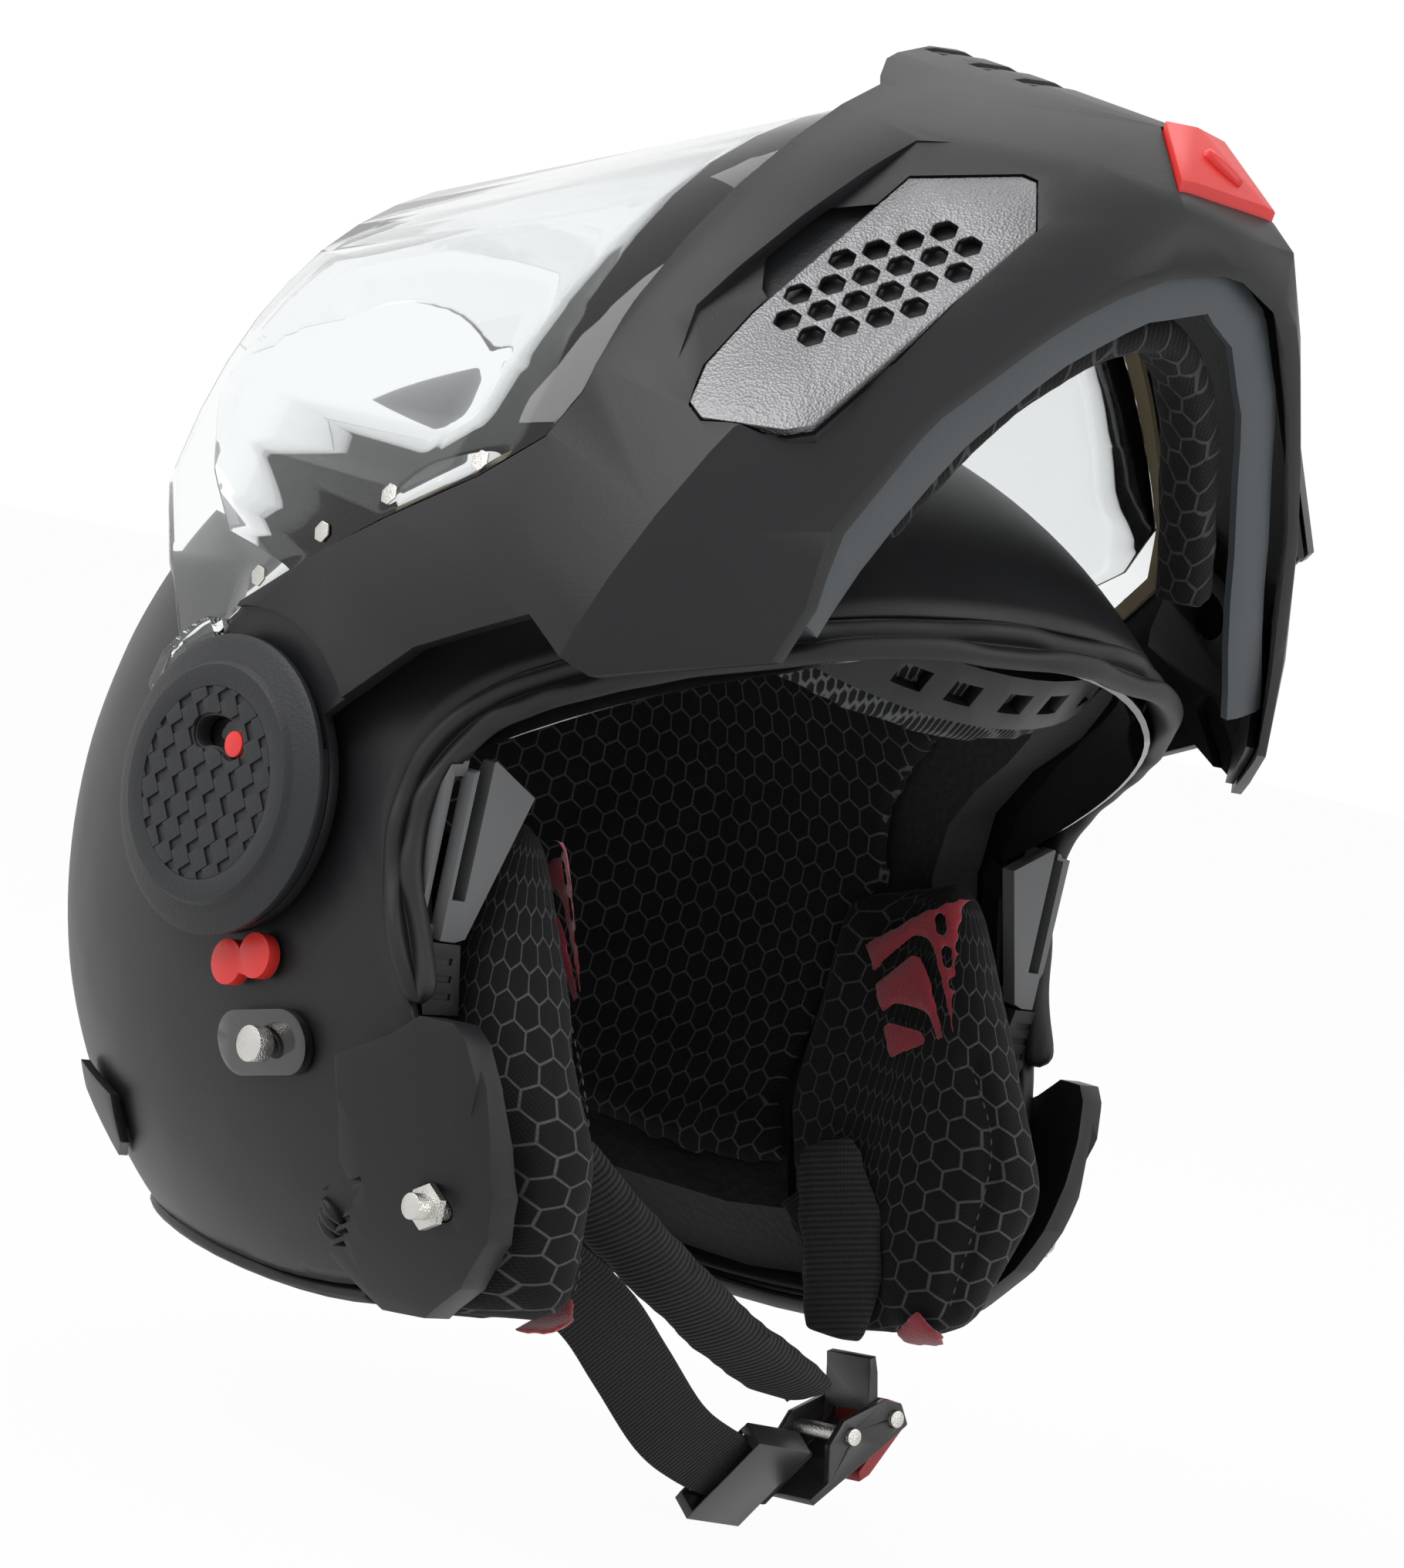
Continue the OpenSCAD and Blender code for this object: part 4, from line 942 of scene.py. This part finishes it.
RIBS = 6
RIB_PITCH = 4.3 * MM
RIB_HALF = 3.9 * MM
RIB_W, RIB_H = 3.2 * MM, 2.2 * MM
# Each pair is a direction along the camera's right and up.
RIB_STEP, RIB_RUN, GRIP_RUN = (0.55, 0.84), (0.77, -0.64), (0.96, -0.27)
GRIP_HALF, GRIP_W, GRIP_H, GRIP_TAPER = 7 * MM, 4.5 * MM, 2.0 * MM, 0.7
SEAM_W, SEAM_DEPTH = 5 * MM, 1.6 * MM
THREAD_OFFSET = 0.3 * MM
STITCH_PITCH, STITCH_LENGTH, THREAD_RADIUS = 3.2 * MM, 2.2 * MM, 0.28 * MM


class HELMET_OT_lock_ribs(bpy.types.Operator):
    """The slanted ribs beside the two lock plates"""
    bl_idname = "helmet.lock_ribs"
    bl_label = "Lock plate ribs"

    def execute(self, context):
        tree = tree_of(bpy.data.objects["shell"])
        right, up, _ = camera_axes()
        middle, _ = on_piece(tree, *POINTS["lock_ribs"])
        bm = bmesh.new()
        for k in range(RIBS):
            centre = middle - (right * RIB_STEP[0] + up * RIB_STEP[1]) * ((k - RIBS / 2) * RIB_PITCH)
            path, normals = surface_line(tree, centre, right * RIB_RUN[0] + up * RIB_RUN[1], RIB_HALF)
            ridge(bm, path, normals, RIB_W, RIB_H)
        mirrored(bm)
        ribs = to_object("lock_ribs", bm, FINISHES["shell_black"])
        mount(ribs, "helmet", "shell_black")
        return {"FINISHED"}


class HELMET_OT_button_ridge(bpy.types.Operator):
    """The grip ridge across the release button"""
    bl_idname = "helmet.button_ridge"
    bl_label = "Button ridge"

    def execute(self, context):
        tree = tree_of(NODES["release_button"])
        right, up, _ = camera_axes()
        centre, _ = on_piece(tree, *POINTS["button"])
        path, normals = surface_line(tree, centre, right * GRIP_RUN[0] + up * GRIP_RUN[1], GRIP_HALF)
        bm = bmesh.new()
        ridge(bm, path, normals, GRIP_W, GRIP_H, GRIP_TAPER)
        grip = to_object("button_ridge", bm, FINISHES["red_plastic"])
        mount(grip, "release_button", "red_plastic")
        return {"FINISHED"}


class HELMET_OT_seams(bpy.types.Operator):
    """The sewn seams of the left cheek pad and their stitches, and the same on the right"""
    bl_idname = "helmet.seams"
    bl_label = "Seams"

    def execute(self, context):
        pad = bpy.data.objects["cheek_cushion_left"]
        line = [POINTS["cheek_seam_head"], POINTS["cheek_seam"], POINTS["cheek_seam_foot"]]
        path, normals = surface_path(tree_of(pad), line, 12)
        pressed_seam(pad, path, SEAM_W, SEAM_DEPTH)
        other = bpy.data.objects["cheek_cushion_right"]
        pressed_seam(other, [Vector((-p.x, p.y, p.z)) for p in path], SEAM_W, SEAM_DEPTH)
        bm = bmesh.new()
        aside = [n.cross(Vector((0, 0, 1))).normalized() * THREAD_OFFSET for n in normals]
        near = [p + shift for p, shift in zip(path, aside)]
        stitch_row(bm, near, normals, STITCH_PITCH, STITCH_LENGTH, THREAD_RADIUS)
        mirrored(bm)
        thread = to_object("cheek_stitches", bm, FINISHES["thread"])
        mount(thread, "helmet", "black_fabric")
        return {"FINISHED"}


def softbox(name, place, aim, width, height, power):
    light = bpy.data.lights.new(name, "AREA")
    light.shape = "RECTANGLE"
    light.size, light.size_y, light.energy = width, height, power
    lamp = bpy.data.objects.new(name, light)
    lamp.location = place
    lamp.rotation_euler = (Vector(place) - Vector(aim)).to_track_quat("Z", "Y").to_euler()
    bpy.context.scene.collection.objects.link(lamp)


class HELMET_OT_stage(bpy.types.Operator):
    """The floor, the lights, the white surroundings and the camera"""
    bl_idname = "helmet.stage"
    bl_label = "Stage"

    def execute(self, context):
        scene, sizes = context.scene, context.scene.helmet_sizes
        bm = bmesh.new()
        bmesh.ops.create_grid(bm, x_segments=1, y_segments=1, size=6.0)
        ground = CAD_BOX[0][2] - 0.5 * MM
        bmesh.ops.translate(bm, verts=bm.verts, vec=(0, 0, ground))
        floor = to_object("floor", bm, FINISHES["floor"], smooth=False)
        floor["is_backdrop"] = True

        right, up, back = camera_axes()
        key = AIM - right * 0.9 + Vector((0, 0, 1.25)) + back * 0.55
        fill = AIM + right * 1.3 + Vector((0, 0, 0.35)) + back * 0.7
        top = AIM + Vector((0, 0, 1.5)) - back * 0.5
        softbox("Key softbox", key, AIM, 1.0, 1.0, sizes.key_light)
        softbox("Fill softbox", fill, AIM, 0.9, 1.2, sizes.key_light * 0.45)
        softbox("Top softbox", top, AIM, 1.4, 0.9, sizes.key_light * 0.5)

        world = bpy.data.worlds.new("Studio")
        world.use_nodes = True
        scene.world = world
        nodes, links = world.node_tree.nodes, world.node_tree.links
        path = nodes.new("ShaderNodeLightPath")
        seen = nodes.new("ShaderNodeMath")
        seen.operation = "MAXIMUM"
        links.new(path.outputs["Is Camera Ray"], seen.inputs[0])
        links.new(path.outputs["Is Transmission Ray"], seen.inputs[1])
        glossy = nodes.new("ShaderNodeMath")
        glossy.operation = "MAXIMUM"
        links.new(seen.outputs[0], glossy.inputs[0])
        links.new(path.outputs["Is Glossy Ray"], glossy.inputs[1])
        room = nodes["Background"]
        room.inputs["Color"].default_value = colour(1, 1, 1)
        room.inputs["Strength"].default_value = sizes.room_light
        white = nodes.new("ShaderNodeBackground")
        mix = nodes.new("ShaderNodeMixShader")
        white.inputs["Color"].default_value = colour(1, 1, 1)
        links.new(glossy.outputs[0], mix.inputs[0])
        links.new(room.outputs[0], mix.inputs[1])
        links.new(white.outputs[0], mix.inputs[2])
        links.new(mix.outputs[0], nodes["World Output"].inputs["Surface"])

        lens = bpy.data.cameras.new("Camera")
        lens.sensor_fit, lens.sensor_width, lens.lens = "AUTO", SENSOR, LENS
        camera = bpy.data.objects.new("Camera", lens)
        turn = Matrix((right, up, back)).transposed().to_4x4()
        camera.matrix_world = Matrix.Translation(AIM + back * DISTANCE) @ turn
        scene.collection.objects.link(camera)
        scene.camera = camera
        scene.view_settings.view_transform = "Standard"
        return {"FINISHED"}


class HELMET_PT_panel(bpy.types.Panel):
    """The helmet's pieces and sizes"""
    bl_idname = "HELMET_PT_panel"
    bl_label = "Helmet"
    bl_space_type = "VIEW_3D"
    bl_region_type = "UI"
    bl_category = "Helmet"

    def draw(self, context):
        for group in (context.scene.helmet_colours, context.scene.helmet_sizes):
            for name in group.__annotations__:
                self.layout.prop(group, name)
        for step in STEPS:
            self.layout.operator(step.bl_idname)


STEPS = (
    HELMET_OT_finishes,
    HELMET_OT_stage,
    HELMET_OT_shell,
    HELMET_OT_hard_parts,
    HELMET_OT_eyeport_seal,
    HELMET_OT_pads,
    HELMET_OT_chin_strap,
    HELMET_OT_grille_backs,
    HELMET_OT_lock_ribs,
    HELMET_OT_button_ridge,
    HELMET_OT_seams,
)
CLASSES = (HelmetColours, HelmetSizes) + STEPS + (HELMET_PT_panel,)


def register():
    for kind in CLASSES:
        bpy.utils.register_class(kind)
    bpy.types.Scene.helmet_colours = PointerProperty(type=HelmetColours)
    bpy.types.Scene.helmet_sizes = PointerProperty(type=HelmetSizes)


def unregister():
    del bpy.types.Scene.helmet_sizes
    del bpy.types.Scene.helmet_colours
    for kind in reversed(CLASSES):
        bpy.utils.unregister_class(kind)


def seen_vertices(piece, everything, eye):
    """The image points of a finished piece's vertices that the camera sees."""
    shown = piece.evaluated_get(bpy.context.evaluated_depsgraph_get())
    mesh = shown.to_mesh()
    found = []
    for vert in mesh.vertices:
        arm = vert.co - eye
        hit = everything.ray_cast(eye, arm.normalized())
        if hit[3] is None or hit[3] > arm.length - 0.6 * MM:
            found.append(image_point(vert.co))
    shown.to_mesh_clear()
    return found


def write_points():
    """Works out how far, in x and y, each named thing shows from its image point; the result is not kept."""
    bm = bmesh.new()
    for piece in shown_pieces():
        if not any(word in piece.name for word in ("shield", "lens")) or piece.name == "shield_pins":
            bm.from_object(piece, bpy.context.evaluated_depsgraph_get())
    everything = BVHTree.FromBMesh(bm)
    bm.free()
    eye = sight(0, 0)[0]
    outline = []
    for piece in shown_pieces():
        if piece.type == "MESH":
            outline += [image_point(Vector(corner.co)) for corner in piece.data.vertices]
    xs, ys = [p[0] for p in outline], [p[1] for p in outline]
    gaps = {"left": (min(xs) - POINTS["left"][0], 0), "right": (max(xs) - POINTS["right"][0], 0),
            "top": (0, min(ys) - POINTS["top"][1]), "bottom": (0, max(ys) - POINTS["bottom"][1])}
    things = {"pivot_cover": "pivot_cover_right", "side_stud": "side_studs", "lock_pin": "latch_pins",
              "button": "release_button", "grille": "side_grille_right", "visor_lever": "visor_lever",
              "ear_patch": "ear_cover_left", "lock_ribs": "lock_ribs"}
    for name, part in things.items():
        seen = seen_vertices(bpy.data.objects[part], everything, eye)
        seen = [p for p in seen if abs(p[0] - POINTS[name][0]) < 120]
        if seen:
            x = (min(p[0] for p in seen) + max(p[0] for p in seen)) / 2
            y = (min(p[1] for p in seen) + max(p[1] for p in seen)) / 2
            gaps[name] = (x - POINTS[name][0], y - POINTS[name][1])
    seen = seen_vertices(bpy.data.objects["cheek_stitches"], everything, eye)
    for name in ("cheek_seam_head", "cheek_seam", "cheek_seam_foot"):
        x, y = min(seen, key=lambda p: math.dist(p, POINTS[name]), default=POINTS[name])
        gaps[name] = (x - POINTS[name][0], y - POINTS[name][1])


def main():
    register()
    for step in STEPS:
        area, name = step.bl_idname.split(".")
        getattr(getattr(bpy.ops, area), name)()
    write_points()


if __name__ == "__main__":
    main()
